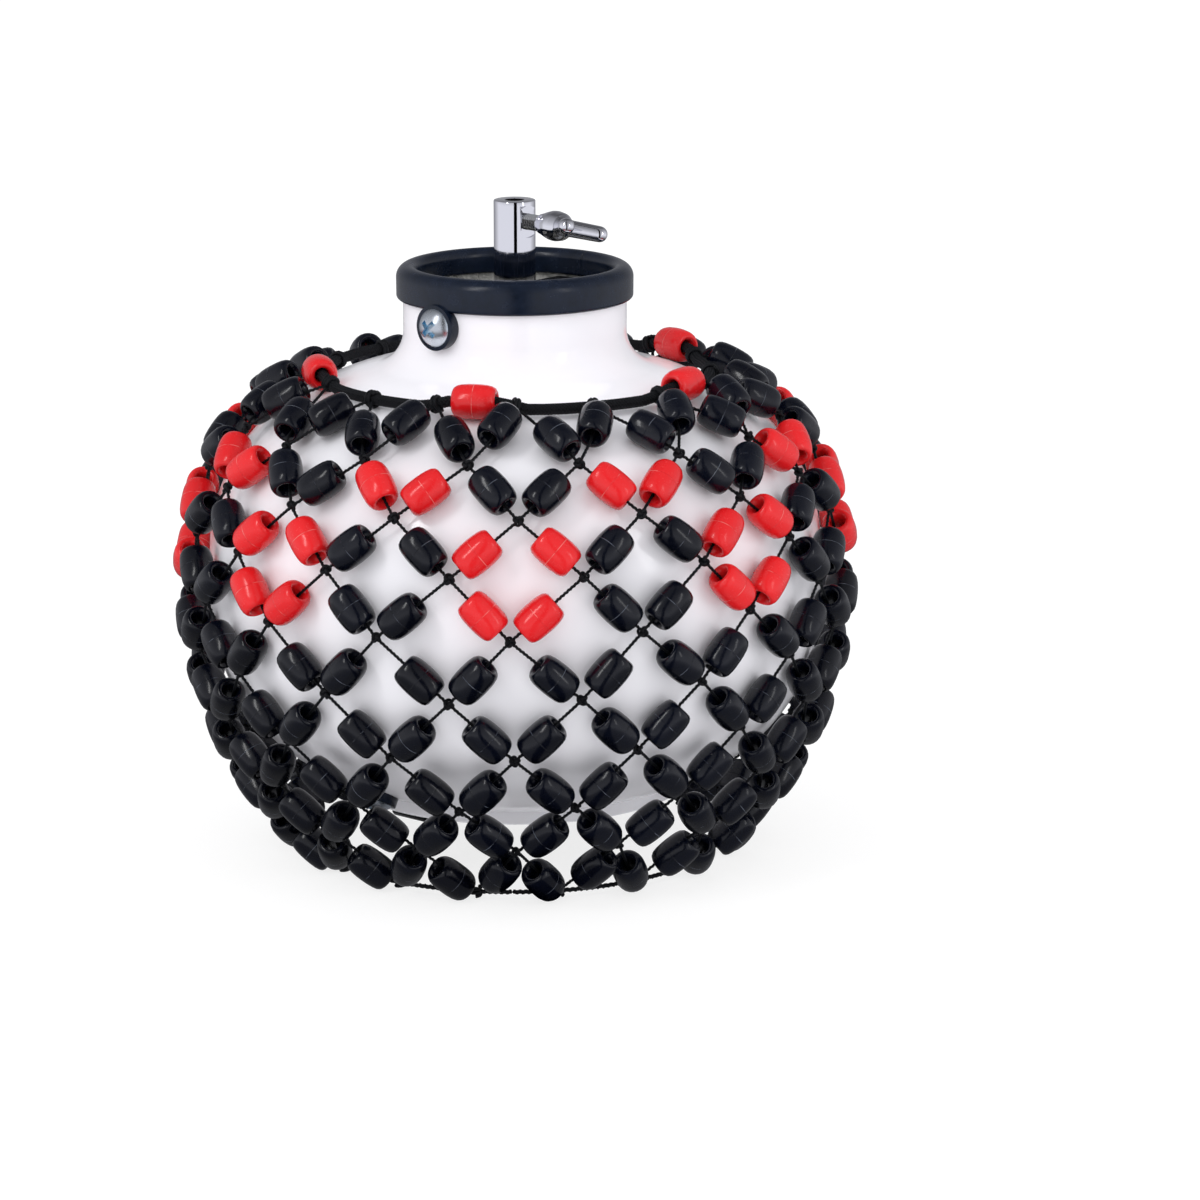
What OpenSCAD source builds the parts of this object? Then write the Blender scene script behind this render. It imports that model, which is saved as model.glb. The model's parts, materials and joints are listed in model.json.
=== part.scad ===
// Shekere that clamps on an upright rod: a moulded shell, open at the neck and at the foot,
// two crossbars that hold a rod clamp and a guide bush, and a knotted net of barrel beads.
// Millimetres, +Z up. The origin is on the shell's axis, at the middle height of the rim trim,
// inside the bore of the rod clamp. The front is -Y, and bearings are in degrees from it,
// positive towards +X.

/* [Shell] */
// Widest diameter of the shell
shell_d = 230; // [215:1:250]
// Height of the body's curve, above and below its widest level
body_rise = 84; // [80:1:90]
// Depth of the crown of the body's curve below the middle of the rim trim
crown_drop = 27; // [24:1:30]
// Squareness of the body's side: 2 is an ellipse and more is squarer
body_square = 2.5; // [2.3:0.1:2.7]
// Wall of the shell
wall = 3; // [2:0.5:4]
// Outer diameter of the neck
neck_d = 83; // [78:1:90]
// Radius of the hollow curve between the neck and the shoulder
neck_fillet = 14; // [10:1:18]
// Outer diameter of the lip round the open foot
lip_d = 130; // [120:1:138]
// Height of the lip
lip_h = 5; // [4:0.5:8]

/* [Rim trim] */
// Height of the rubber trim
trim_h = 12.5; // [11:0.5:14]
// Thickness of the trim's two legs
trim_leg = 2.5; // [2:0.5:3.5]
// Thickness of the trim above the neck's edge
trim_crown = 4; // [3:0.5:5]
// Rounding of the trim's upper corners
trim_round = 3; // [2:0.5:3.5]

/* [Crossbars] */
// Bearing of both crossbars
bar_turn = -40; // [-50:5:-30]
// Width of the crossbars
bar_w = 16; // [14:1:20]
// Thickness of the crossbars
bar_t = 3; // [2:0.5:4]
// Outer radius of the crossbars' bends
bar_bend = 4; // [3.5:0.1:4.5]
// Depth of the upper crossbar's top face below the middle of the rim trim
bar_drop = 3.6; // [3.5:0.1:4.5]
// Drop of the lower crossbar's top face below the lip
foot_bar_drop = 0.5; // [0:0.5:2]
// How far the lower crossbar's feet reach out past the lip, along the inside of the shell
foot_l = 24; // [20:1:28]

/* [Screws] */
// Diameter of the screws' shanks
screw_d = 5; // [4:0.5:5]
// Diameter of the screws' domed heads
head_d = 14; // [12:0.5:15]
// Height of the domed heads
head_h = 3.6; // [3:0.2:4.4]
// Diameter of the rubber washers
washer_d = 16.8; // [15:0.2:18]
// Thickness of the rubber washers
washer_t = 3.5; // [3:0.5:4.5]
// Width across the flats of the screws' nuts
nut_af = 8; // [7:0.5:9]
// Thickness of the screws' nuts
nut_t = 4; // [3:0.5:5]

/* [Rod clamp] */
// Diameter of the bore for the rod
bore_d = 7.2; // [6.5:0.1:8]
// Outer diameter of the clamp's collar
collar_d = 15.5; // [14:0.5:18]
// Height of the collar's top above the middle of the rim trim
collar_top = 30; // [29:1:36]
// Diameter of the collar's spigot, which passes through the upper crossbar
spigot_d = 10; // [9.5:0.5:11]
// Length of the spigot below the crossbar
spigot_l = 6; // [5:0.5:9]
// Width across the flats of the spigot's nut
lock_nut_af = 15; // [14:0.5:17]
// Thickness of the spigot's nut
lock_nut_t = 4.5; // [4:0.5:6]
// Outer diameter of the guide bush in the lower crossbar
bush_d = 11; // [10:0.5:12]
// Diameter of the guide bush's bore
bush_bore_d = 7.8; // [7.5:0.1:8.2]
// Diameter of the guide bush's flanges
bush_flange_d = 15; // [13:0.5:16]
// Thickness of the guide bush's flanges
bush_flange_t = 1.5; // [1:0.5:2.5]

/* [Wing bolt] */
// Bearing of the wing bolt
bolt_turn = 45; // [40:1:50]
// Height of the wing bolt above the middle of the rim trim
bolt_h = 22.5; // [21:0.5:23]
// Outer diameter of the bolt's thread
bolt_d = 6; // [5:0.5:6]
// Distance from the rod's axis to the wings' hub
hub_reach = 14.2; // [13:0.2:17]
// Largest diameter of the hub
hub_d = 11.2; // [10:0.4:13]
// Length of the hub
hub_l = 14.5; // [12:0.5:16]
// Length of each wing, from the hub's middle to the middle of its round tip
wing_l = 15; // [12:1:17]
// Diameter of the wings
wing_d = 6.4; // [5:0.1:7]
// Angle between each wing and the plane square to the bolt
wing_rake = 54; // [44:2:60]
// Roll of the wings about the bolt, as photographed
wing_roll = 16; // [0:2:30]

/* [Net] */
// Number of columns of knots round the shell
columns = 16; // [16:1:16]
// Thickness of the net's cord
cord_d = 1.3; // [1:0.1:1.5]
// Thickness of the braided neck cord
neck_cord_d = 4; // [3.5:0.1:4.2]
// Thickness of the cord that gathers the net's foot
foot_cord_d = 2; // [1.6:0.1:2.4]
// Diameter of the knots
knot_d = 4.2; // [3.6:0.2:5]
// Radius of the place on the shoulder where the neck cord seats
neck_cord_seat = 71; // [68:1:76]
// Distance from the shell to the middle of the knots
net_standoff = 6.5; // [6.4:0.1:7]
// Reach of the net's foot below the body's curve
net_below = 18; // [14:1:22]
// Slack of the net's curve below the widest level
net_slack = 48; // [46:1:56]
// How much higher the net hangs on its right than level, and lower on its left
net_sway = 4.5; // [0:0.5:6]
// Unevenness of the hand-tied knots
net_uneven = 0.9; // [0:0.1:1]
// Turn of the whole net from the front
net_turn = 1; // [-5:1:5]

/* [Beads] */
// Length of a bead
bead_l = 16.3; // [15:0.1:16.5]
// Diameter of a bead
bead_d = 12.9; // [12:0.1:13]
// Diameter of a bead's bore
bead_bore = 5; // [4.8:0.1:5.4]

/* [Hidden] */
$fn = 64;

// Gaps and overruns
seat_gap = 0.05;
run_gap = 0.1;
net_gap = 0.35;
slant_gap = 0.55;
cut = 1;

// Colours
white_shell = "#F4F3F1";
black_rubber = "#20242B";
black_paint = "#2A2B2E";
chrome = "#C9CCD1";
zinc = "#B9BEC4";
nylon = "#1D1E20";
black_cord = "#15161A";
red_bead = "#E8262A";
black_bead = "#1B1C20";

// Shell, from its driving sizes
shell_r = shell_d / 2;
neck_r = neck_d / 2;
lip_r = lip_d / 2;
lip_in = lip_r - wall;
neck_top = trim_h / 2 - trim_crown;
// Depth of the widest level below the middle of the rim trim
body_drop = crown_drop + body_rise;
body_steps = 30;
fillet_steps = 8;

// Point of the body's curve at a share of the way from the crown, 0, to the foot, 180
function body_point(t, inset) = [
    (shell_r - inset) * pow(abs(sin(t)), 2 / body_square),
    (body_rise - inset) * pow(abs(cos(t)), 2 / body_square) * sign(cos(t)) - body_drop];

// Level of the body's curve at a radius, on its upper side, 1, or its lower side, -1
function body_level(r, inset, side) = side * (body_rise - inset)
    * pow(1 - pow(r / (shell_r - inset), body_square), 1 / body_square) - body_drop;

// Outward direction of the body's curve at a radius on its upper side, as [across, up]
function body_slope(r, inset = 0) = let (
        a = shell_r - inset,
        b = body_rise - inset,
        up = body_level(r, inset, 1) + body_drop)
    unit([pow(r / a, body_square - 1) / a, pow(up / b, body_square - 1) / b]);

// Angle on the body's curve that has a radius, on the upper side
function body_angle(r, inset) = asin(pow(r / (shell_r - inset), body_square / 2));

// The hollow curve touches the body where its centre comes over the neck's wall plus its radius
function fillet_miss(r, fillet) = r + fillet * body_slope(r)[0] - neck_r - fillet;
function fillet_radius(low, high, fillet, tries) = let (mid = (low + high) / 2)
    tries == 0 ? mid
    : fillet_miss(mid, fillet) > 0 ? fillet_radius(low, mid, fillet, tries - 1)
    : fillet_radius(mid, high, fillet, tries - 1);
fillet_tries = 24;
touch_r = fillet_radius(neck_r, shell_r * 0.8, neck_fillet, fillet_tries);
touch_slope = body_slope(touch_r);
fillet_z = body_level(touch_r, 0, 1) + neck_fillet * touch_slope[1];
fillet_sweep = atan2(touch_slope[1], touch_slope[0]);

// Outline of the shell's outer face, or of its inner face when inset by the wall: the neck,
// the hollow curve, the body and the lip, from top to bottom
function shell_outline(inset, top, bottom) = let (
        start = body_angle(touch_r - inset * touch_slope[0], inset),
        end = 180 - body_angle(lip_r - inset, inset))
    concat(
        [[neck_r - inset, top]],
        [for (i = [0 : fillet_steps - 1]) let (a = fillet_sweep * i / fillet_steps)
            [neck_r + neck_fillet, fillet_z] - (neck_fillet + inset) * [cos(a), sin(a)]],
        [for (i = [0 : body_steps]) body_point(start + (end - start) * i / body_steps, inset)],
        [[lip_r - inset, bottom]]);
lip_top = body_level(lip_r, 0, -1);
lip_z = lip_top - lip_h;

// Everything within an outline, as a solid round the axis
module round_solid(inset, top, bottom) {
    rotate_extrude()
        polygon(concat([[0, top]], shell_outline(inset, top, bottom), [[0, bottom]]));
}

// Places a child on a bearing and a height, with its +Z outward and its +Y up
module outward(bearing, height) {
    translate([0, 0, height]) rotate([0, 0, bearing]) rotate([90, 0, 0]) children();
}

// Repeats a child at both ends of the crossbars
module both_ends() {
    for (end = [0, 180]) rotate([0, 0, bar_turn + end]) children();
}

// A bar's outline, drawn across and up, made as wide as the bar on the crossbars' bearing
module bar_strap() {
    rotate([0, 0, bar_turn]) rotate([90, 0, 90]) translate([0, 0, -bar_w / 2])
        linear_extrude(bar_w) children();
}

// Seats of the screws: the neck's go straight in, the foot's square to the shell's underside
// The neck screws sit just low enough for their nuts to clear the upper crossbar's bends
nut_room = 0.4;
neck_screw_drop = bar_drop + bar_bend + nut_af / 2 + nut_room;
neck_seat = [neck_r - wall, -neck_screw_drop];
foot_seat_share = 0.62;
foot_seat_r = lip_in + foot_seat_share * foot_l;
foot_seat = [foot_seat_r, body_level(foot_seat_r, wall, -1)];
foot_slope = body_slope(foot_seat_r, wall);
foot_steps = 8;

// Places a child at a screw's seat on the inside of the wall, with its +Z out of the shell
module at_neck_seat() {
    both_ends() translate([0, -neck_seat[0], neck_seat[1]]) rotate([90, 0, 0]) children();
}
module at_foot_seat() {
    both_ends() translate([0, -foot_seat[0], foot_seat[1]])
        rotate([atan2(foot_slope[0], -foot_slope[1]), 0, 0]) children();
}
hole_d = screw_d + 4 * seat_gap;
hole_reach = wall + washer_t + head_h;

module shell() {
    color(white_shell) difference() {
        rotate_extrude()
            polygon(concat(shell_outline(0, neck_top, lip_z),
                [for (i = [0 : len(inner_line) - 1]) inner_line[len(inner_line) - 1 - i]]));
        at_neck_seat() translate([0, 0, -hole_reach]) cylinder(d = hole_d, h = 2 * hole_reach);
        at_foot_seat() translate([0, 0, -wall]) cylinder(d = hole_d, h = hole_reach + wall);
    }
}
inner_line = shell_outline(wall, neck_top, lip_z);

// Rubber channel pressed over the neck's edge
trim_out = neck_r + trim_leg;
trim_in = neck_r - wall - trim_leg;
trim_short = 3;

module trim_leg_outline(x, bottom) {
    translate([x, bottom + trim_leg / 2]) circle(d = trim_leg);
    translate([x - trim_leg / 2, bottom + trim_leg / 2]) square([trim_leg, -bottom]);
}

module rim_trim() {
    color(black_rubber) difference() {
        rotate_extrude() difference() {
            union() {
                for (x = [trim_in + trim_round, trim_out - trim_round])
                    translate([x, trim_h / 2 - trim_round]) circle(r = trim_round);
                translate([trim_in + trim_round, 0])
                    square([trim_out - trim_in - 2 * trim_round, trim_h / 2]);
                translate([trim_in, 0]) square([trim_out - trim_in, trim_h / 2 - trim_round]);
                trim_leg_outline(trim_out - trim_leg / 2, -trim_h / 2);
                trim_leg_outline(trim_in + trim_leg / 2, trim_short - trim_h / 2);
            }
            translate([neck_r - wall - seat_gap, -trim_h])
                square([wall + 2 * seat_gap, trim_h + neck_top + seat_gap]);
        }
        // The outer leg gives way round each washer
        at_neck_seat() translate([0, 0, wall - seat_gap])
            cylinder(d = washer_d + 2 * seat_gap, h = washer_t + head_h);
    }
}

// Half of the upper crossbar's outline: the plate, the bend and the leg
module neck_bar_half() {
    bend_x = neck_r - wall - bar_bend;
    translate([-cut, -bar_drop - bar_t]) square([bend_x + cut, bar_t]);
    translate([bend_x, -bar_drop - bar_bend]) intersection() {
        difference() {
            circle(r = bar_bend);
            circle(r = bar_bend - bar_t);
        }
        square(bar_bend);
    }
    translate([neck_r - wall - bar_t, -neck_screw_drop - bar_w / 2])
        square([bar_t, neck_screw_drop + bar_w / 2 - bar_drop - bar_bend]);
}

module upper_crossbar() {
    color(black_paint) difference() {
        intersection() {
            bar_strap() for (side = [0, 1]) mirror([side, 0, 0]) neck_bar_half();
            round_solid(wall + seat_gap, cut, lip_z);
        }
        translate([0, 0, -bar_drop - bar_t - cut])
            cylinder(d = spigot_d + 2 * seat_gap, h = bar_t + 2 * cut);
        at_neck_seat() translate([0, 0, -bar_t - cut]) cylinder(d = hole_d, h = bar_t + 2 * cut);
    }
}

// Points along the inside of the shell, from the lip to the end of a foot, at some inset
function foot_line(inset) = let (
        start = 180 - body_angle(lip_in, inset),
        end = 180 - body_angle(lip_in + foot_l, inset))
    [for (i = [0 : foot_steps]) body_point(start + (end - start) * i / foot_steps, inset)];

// Half of the lower crossbar's outline: the plate, the bend, the leg and the foot, which
// follows the shell
foot_bar_top = lip_z - foot_bar_drop;
module foot_bar_half() {
    bend_x = lip_in - bar_bend;
    leg_x = lip_in - bar_t;
    bend_z = foot_bar_top - bar_t + bar_bend;
    translate([-cut, foot_bar_top - bar_t]) square([bend_x + cut, bar_t]);
    translate([bend_x, bend_z]) intersection() {
        difference() {
            circle(r = bar_bend);
            circle(r = bar_bend - bar_t);
        }
        translate([0, -bar_bend]) square(bar_bend);
    }
    near = foot_line(wall);
    far = foot_line(wall + bar_t);
    polygon(concat([[leg_x, bend_z], [lip_in, bend_z]], near,
        [for (i = [foot_steps : -1 : 0]) far[i]], [[leg_x, far[0][1] - bar_t / 2]]));
}

module lower_crossbar() {
    color(black_paint) difference() {
        intersection() {
            bar_strap() for (side = [0, 1]) mirror([side, 0, 0]) foot_bar_half();
            round_solid(wall + seat_gap, neck_top, foot_bar_top - bar_t - cut);
        }
        translate([0, 0, foot_bar_top - bar_t - cut])
            cylinder(d = bush_d + 2 * seat_gap, h = bar_t + 2 * cut);
        at_foot_seat() translate([0, 0, -2 * bar_t]) cylinder(d = hole_d, h = 3 * bar_t);
    }
}

// Domed screw with a cross recess, its head's flat face on the plane z = 0 and its shank below
recess_w = 2;
recess_l = 7;
recess_deep = 2.2;

module domed_screw(shank) {
    dome_r = (pow(head_d / 2, 2) + pow(head_h, 2)) / (2 * head_h);
    difference() {
        union() {
            rotate_extrude() intersection() {
                translate([0, head_h - dome_r]) circle(r = dome_r);
                square([head_d / 2, head_h]);
            }
            translate([0, 0, -shank]) cylinder(d = screw_d, h = shank + cut);
        }
        for (turn = [45, 135]) rotate([0, 0, turn])
            translate([-recess_l / 2, -recess_w / 2, head_h - recess_deep])
                cube([recess_l, recess_w, recess_deep + cut]);
    }
}

module hex_nut(flats, bore, thick) {
    difference() {
        cylinder(d = flats / cos(30), h = thick, $fn = 6);
        translate([0, 0, -cut]) cylinder(d = bore, h = thick + 2 * cut);
    }
}

screw_reach = washer_t + wall + bar_t + nut_t + 3 * seat_gap + cut;
head_seat = wall + washer_t + seat_gap;

module neck_screws() {
    color(zinc) at_neck_seat() translate([0, 0, head_seat]) domed_screw(screw_reach);
}

module foot_screws() {
    color(zinc) at_foot_seat() translate([0, 0, head_seat]) domed_screw(screw_reach);
}

module rubber_washer() {
    difference() {
        cylinder(d = washer_d, h = wall + washer_t);
        translate([0, 0, -cut]) cylinder(d = hole_d, h = wall + washer_t + 2 * cut);
    }
}

// The washers' backs take the shell's curve
module neck_washers() {
    color(black_rubber) difference() {
        at_neck_seat() rubber_washer();
        round_solid(-seat_gap, cut, lip_z);
    }
}

module foot_washers() {
    color(black_rubber) difference() {
        at_foot_seat() rubber_washer();
        round_solid(-seat_gap, cut, lip_z);
    }
}

nut_bore = screw_d + 2 * seat_gap;
// A nut stands this far off a foot, whose curve rises under its corners
foot_bow = 0.4;

module neck_nuts() {
    color(zinc) at_neck_seat() translate([0, 0, -bar_t - nut_t - seat_gap])
        hex_nut(nut_af, nut_bore, nut_t);
}

module foot_nuts() {
    color(zinc) at_foot_seat() translate([0, 0, -bar_t - nut_t - foot_bow])
        hex_nut(nut_af, nut_bore, nut_t);
}

// Collar on the upper crossbar, bored for the rod, with a spot face and a hole for the bolt
spot_depth = 0.8;
spot_d = 12;

module rod_collar() {
    color(chrome) difference() {
        union() {
            translate([0, 0, seat_gap - bar_drop])
                cylinder(d = collar_d, h = collar_top + bar_drop - seat_gap);
            translate([0, 0, -bar_drop - bar_t - spigot_l])
                cylinder(d = spigot_d, h = bar_t + spigot_l + cut);
        }
        translate([0, 0, -bar_drop - bar_t - spigot_l - cut])
            cylinder(d = bore_d, h = collar_top + bar_drop + bar_t + spigot_l + 2 * cut);
        outward(bolt_turn, bolt_h) cylinder(d = bolt_d + run_gap, h = collar_d);
        outward(bolt_turn, bolt_h) translate([0, 0, collar_d / 2 - spot_depth])
            cylinder(d = spot_d, h = collar_d);
    }
}

module collar_nut() {
    color(zinc) translate([0, 0, -bar_drop - bar_t - seat_gap - lock_nut_t])
        hex_nut(lock_nut_af, spigot_d + 2 * seat_gap, lock_nut_t);
}

// Flanged bush that keeps the rod central in the lower crossbar
module guide_bush() {
    color(nylon) difference() {
        union() {
            translate([0, 0, foot_bar_top - bar_t - cut])
                cylinder(d = bush_d, h = bar_t + 2 * cut);
            translate([0, 0, foot_bar_top + seat_gap])
                cylinder(d = bush_flange_d, h = bush_flange_t);
            translate([0, 0, foot_bar_top - bar_t - seat_gap - bush_flange_t])
                cylinder(d = bush_flange_d, h = bush_flange_t);
        }
        translate([0, 0, foot_bar_top - bar_t - bush_flange_t - cut])
            cylinder(d = bush_bore_d, h = bar_t + 2 * bush_flange_t + 2 * cut);
    }
}

// Wing bolt: a threaded stud pressed into a hub with two raked wings
stud_in_share = 0.4;
stud_in = hub_l * stud_in_share;

module bolt_stud() {
    color(chrome) outward(bolt_turn, bolt_h) translate([0, 0, bore_d / 2])
        cylinder(d = bolt_d, h = hub_reach + stud_in - bore_d / 2);
}

hub_shares = [[0.36, 0], [0.66, 0], [0.7, 0.08], [0.86, 0.26], [0.98, 0.42], [1, 0.56], [0.9, 0.78],
    [0.6, 0.93], [0, 1]];
wing_root_share = 0.66;
wing_tip_share = 0.94;

// One wing, from the bolt's axis to its round tip
wing_tip_r = wing_d / 2 * wing_tip_share;
tip_steps = 6;
module wing() {
    rotate_extrude() polygon(concat([[0, 0], [wing_d / 2, 0]],
        [for (i = [0 : tip_steps - 1]) let (a = 90 * i / tip_steps)
            [wing_tip_r * cos(a), wing_l + wing_tip_r * sin(a)]],
        [[0, wing_l + wing_tip_r]]));
}

module bolt_wings() {
    color(chrome) outward(bolt_turn, bolt_h) translate([0, 0, hub_reach]) difference() {
        union() {
            rotate_extrude() polygon(concat([[0, 0]],
                [for (s = hub_shares) [s[0] * hub_d / 2, s[1] * hub_l]]));
            for (side = [0, 180]) rotate([0, 0, side - wing_roll])
                translate([0, 0, hub_l * wing_root_share]) rotate([0, 90 - wing_rake, 0]) wing();
        }
        translate([0, 0, -cut]) cylinder(d = bolt_d + run_gap, h = stud_in + seat_gap + cut);
    }
}

// Net: places are worked out from the shell's curve
function unit(v) = v / norm(v);
function place(r, bearing, z) = [r * sin(bearing), -r * cos(bearing), z];
step = 360 / columns;
last_row = 9;

// The neck cord lies on the net's hitches, and rides up over the beads that are threaded on it
seat_slope = body_slope(neck_cord_seat);
seat_z = body_level(neck_cord_seat, 0, 1);
cord_low = neck_cord_d / 2 + run_gap + cord_d + net_gap / 2;
cord_high = bead_d / 2 + net_gap + run_gap;
neck_bead_columns = [-3.5, -0.5, 2.5, 5.5, 8.5];
// How far to each side of a bead's middle the cord stays up, and where it is down, in bead lengths
ride_shares = [0.4, 1.25];
function ride_turn(i) = ride_shares[i] * bead_l / neck_cord_seat * 180 / PI;
function ride(off) = let (t = (off - ride_turn(0)) / (ride_turn(1) - ride_turn(0)))
    t <= 0 ? 1 : t < 1 ? pow(cos(90 * t), 2) : 0;
function turn_between(a, b) = abs((a - b + 540) % 360 - 180);
function cord_height(bearing) = cord_low + (cord_high - cord_low)
    * max([for (c = neck_bead_columns) ride(turn_between(bearing, c * step + net_turn))]);
function neck_cord_place(bearing) = let (h = cord_height(bearing))
    place(neck_cord_seat + h * seat_slope[0], bearing, seat_z + h * seat_slope[1]);

// Middle of a straight piece of some length that the bowed cord runs through
function threaded_place(bearing, length) = let (half = length / 2 / neck_cord_seat * 180 / PI)
    (neck_cord_place(bearing - half) + 2 * neck_cord_place(bearing) + neck_cord_place(bearing + half)) / 4;

// Levels of the rows of knots, as shares of the net's depth below its neck cord
row_shares = [0, 0.082, 0.178, 0.286, 0.407, 0.534, 0.659, 0.778, 0.882, 1];
// How far each row of knots is pulled round, in degrees
row_pull = [0, 1.8, 0.5, 0, -1.3, -0.5, -0.7, 0, 0, 0];
net_top = seat_z + cord_low * seat_slope[1];
net_foot = -body_drop - body_rise - net_below;
net_r = shell_r + net_standoff;

// Radius of the net at a level: it follows the shell above the widest level and hangs below it
function net_radius(z) = let (up = z + body_drop) up > 0
    ? net_r * pow(1 - pow(up / (body_rise + net_standoff), body_square), 1 / body_square)
    : net_r * sqrt(1 - pow(up / (body_rise + net_slack), 2));
foot_r = net_radius(net_foot);

// Hand-tied unevenness, which fades out at the neck cord and at the foot cord
function fade(row) = sin(180 * row_shares[row]);
function uneven(row, column, seed) = net_uneven * fade(row)
    * sin(180 * (row * 2.7 + column * 5.1 + seed) / PI);

// Place of a knot: even rows lie on whole columns and odd rows on half columns
function knot_place(row, column) = let (
        c = (column + columns) % columns,
        pulled = c * step + net_turn + row_pull[row],
        level = net_top + (net_foot - net_top) * row_shares[row],
        z = level + net_sway * fade(row) * sin(pulled) + uneven(row, c, 1),
        r = row == last_row ? foot_r : net_radius(z),
        bearing = pulled + uneven(row, c, 4) / r * 180 / PI)
    row == 0 ? neck_cord_place(pulled) : place(r, bearing, z);

// Outward direction of the net's surface at a place
function net_out(p) = let (
        r = norm([p[0], p[1]]),
        up = p[2] + body_drop,
        across = up > 0 ? pow(r / shell_r, body_square - 1) / shell_r : r / pow(shell_r, 2),
        rise = up > 0 ? pow(up / body_rise, body_square - 1) / body_rise
            : up / pow(body_rise + net_slack, 2))
    unit([p[0] / r * across, p[1] / r * across, rise]);

// Where each bead sits above its lower knot, in bead lengths: on the strand that leans left and
// on the one that leans right
seat_shares = [[0, 0], [0.75, 1.2], [0.88, 0.88], [0.81, 0.81], [0.81, 0.81], [0.81, 0.81],
    [0.81, 0.81], [0.82, 0.82], [0.85, 0.85], [0.77, 1.2]];
// The first row's beads ride over the shoulder: their lift and their shift aside, in bead diameters
lift_shares = [0.105, 0.155];
aside_shares = [0.045, 0.17];

// One strand, as [lower knot, upper knot, direction, bead's centre, cord's place in the bead]
function strand(row, column, side) = let (
        low = knot_place(row, column),
        high = knot_place(row - 1, column + side / 2),
        along = unit(high - low),
        right = side > 0 ? 1 : 0,
        plain = low + along * seat_shares[row][right] * bead_l,
        normal = net_out(plain),
        out = unit(normal - (normal * along) * along),
        across = side * cross(along, out),
        off_centre = (bead_bore - cord_d) / 2 - run_gap,
        lift = row == 1 ? lift_shares[right] * bead_d : 0,
        aside = row == 1 ? aside_shares[right] * bead_d : 0,
        centre = plain + (off_centre + lift) * out + aside * across)
    [low, high, along, centre, centre - off_centre * out];

function row_columns(row) = [for (c = [0 : columns - 1]) c + (row % 2) / 2];

// The pattern: red pairs under every other column of row 1, which split into the diamond of
// rows 2 to 4
function red_strand(row, column, side) =
    row == 2 ? (round(column) + columns) % 2 == 1
    : row == 3 ? (round(column + side / 2) + 2 * columns) % 2 == 0
    : row == 4 ? (round(column) + columns) % 2 == 0
    : false;

// Turns a child's +Z to a direction and moves it to a place
module along_line(p, dir) {
    translate(p) rotate([0, acos(dir[2]), atan2(dir[1], dir[0])]) children();
}

bead_shares = [[0.62, 1], [0.87, 0.87], [0.977, 0.56], [1, 0], [0.977, -0.56], [0.87, -0.87], [0.62, -1]];
bead_dish = 0.985;

module bead() {
    rotate_extrude() polygon(concat([[bead_bore / 2, bead_l / 2 * bead_dish]],
        [for (s = bead_shares) [s[0] * bead_d / 2, s[1] * bead_l / 2]],
        [[bead_bore / 2, -bead_l / 2 * bead_dish]]));
}

module bead_row(row, red) {
    color(red ? red_bead : black_bead)
        for (c = row_columns(row), side = [-1, 1])
            if (red_strand(row, c, side) == red) {
                s = strand(row, c, side);
                along_line(s[3], s[2]) bead();
            }
}

module rod_between(a, b, d) {
    along_line(a, unit(b - a)) cylinder(d = d, h = norm(b - a));
}

hitch_d = neck_cord_d + 2 * run_gap + 2 * cord_d;
loop_d = foot_cord_d + 2 * run_gap + 2 * cord_d;
function knot_size(row) = row == 0 ? hitch_d : row == last_row ? loop_d : knot_d;
// A strand that comes in aslant ends further off a wrapping than off a round knot
function knot_gap(row) = row == 0 || row == last_row ? slant_gap : seat_gap;

// Skin over rings of points, joined round or closed at both ends
module skin(rings, joined) {
    n = len(rings);
    m = len(rings[0]);
    function at(i, j) = (i % n) * m + j % m;
    sides = [for (i = [0 : n - (joined ? 1 : 2)], j = [0 : m - 1], half = [0, 1])
        half == 0 ? [at(i, j), at(i, j + 1), at(i + 1, j)]
        : [at(i, j + 1), at(i + 1, j + 1), at(i + 1, j)]];
    ends = joined ? [] : [for (j = [1 : m - 2], far = [0, 1])
        far == 0 ? [at(0, 0), at(0, j + 1), at(0, j)]
        : [at(n - 1, 0), at(n - 1, j), at(n - 1, j + 1)]];
    polyhedron([for (r = rings, p = r) p], concat(sides, ends));
}

// Ring of points round a cord at a place, square to its direction
strand_sides = 8;
function cord_ring(p, along, out, d, sides) = let (x = unit(cross(along, out)), y = cross(x, along))
    [for (j = [0 : sides - 1]) let (turn = j * 360 / sides) p + d / 2 * (cos(turn) * x + sin(turn) * y)];

// A strand runs from knot to knot, and over the shoulder it bends at both ends of its bead
module net_strand(row, column, side) {
    s = strand(row, column, side);
    half = bead_l / 2 + run_gap;
    bends = row == 1 ? [s[4] - half * s[2], s[4] + half * s[2]] : [];
    first = row == 1 ? bends[0] : s[1];
    final = row == 1 ? bends[1] : s[0];
    low = s[0] + (knot_size(row) / 2 + knot_gap(row)) * unit(first - s[0]);
    high = s[1] + (knot_size(row - 1) / 2 + knot_gap(row - 1)) * unit(final - s[1]);
    line = concat([low], bends, [high]);
    count = len(line);
    steps = [for (i = [1 : count - 1]) unit(line[i] - line[i - 1])];
    if (row == 1)
        skin([for (i = [0 : count - 1]) let (along = unit(steps[max(i - 1, 0)] + steps[min(i, count - 2)]))
            cord_ring(line[i], along, net_out(s[3]), cord_d, strand_sides)], false);
    else
        rod_between(low, high, cord_d);
}

module strand_rows(first, final) {
    color(black_cord)
        for (row = [first : final], c = row_columns(row), side = [-1, 1])
            net_strand(row, c, side);
}

module net_knots() {
    color(black_cord)
        for (row = [1 : last_row - 1], c = row_columns(row))
            translate(knot_place(row, c)) sphere(d = knot_d);
}

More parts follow.
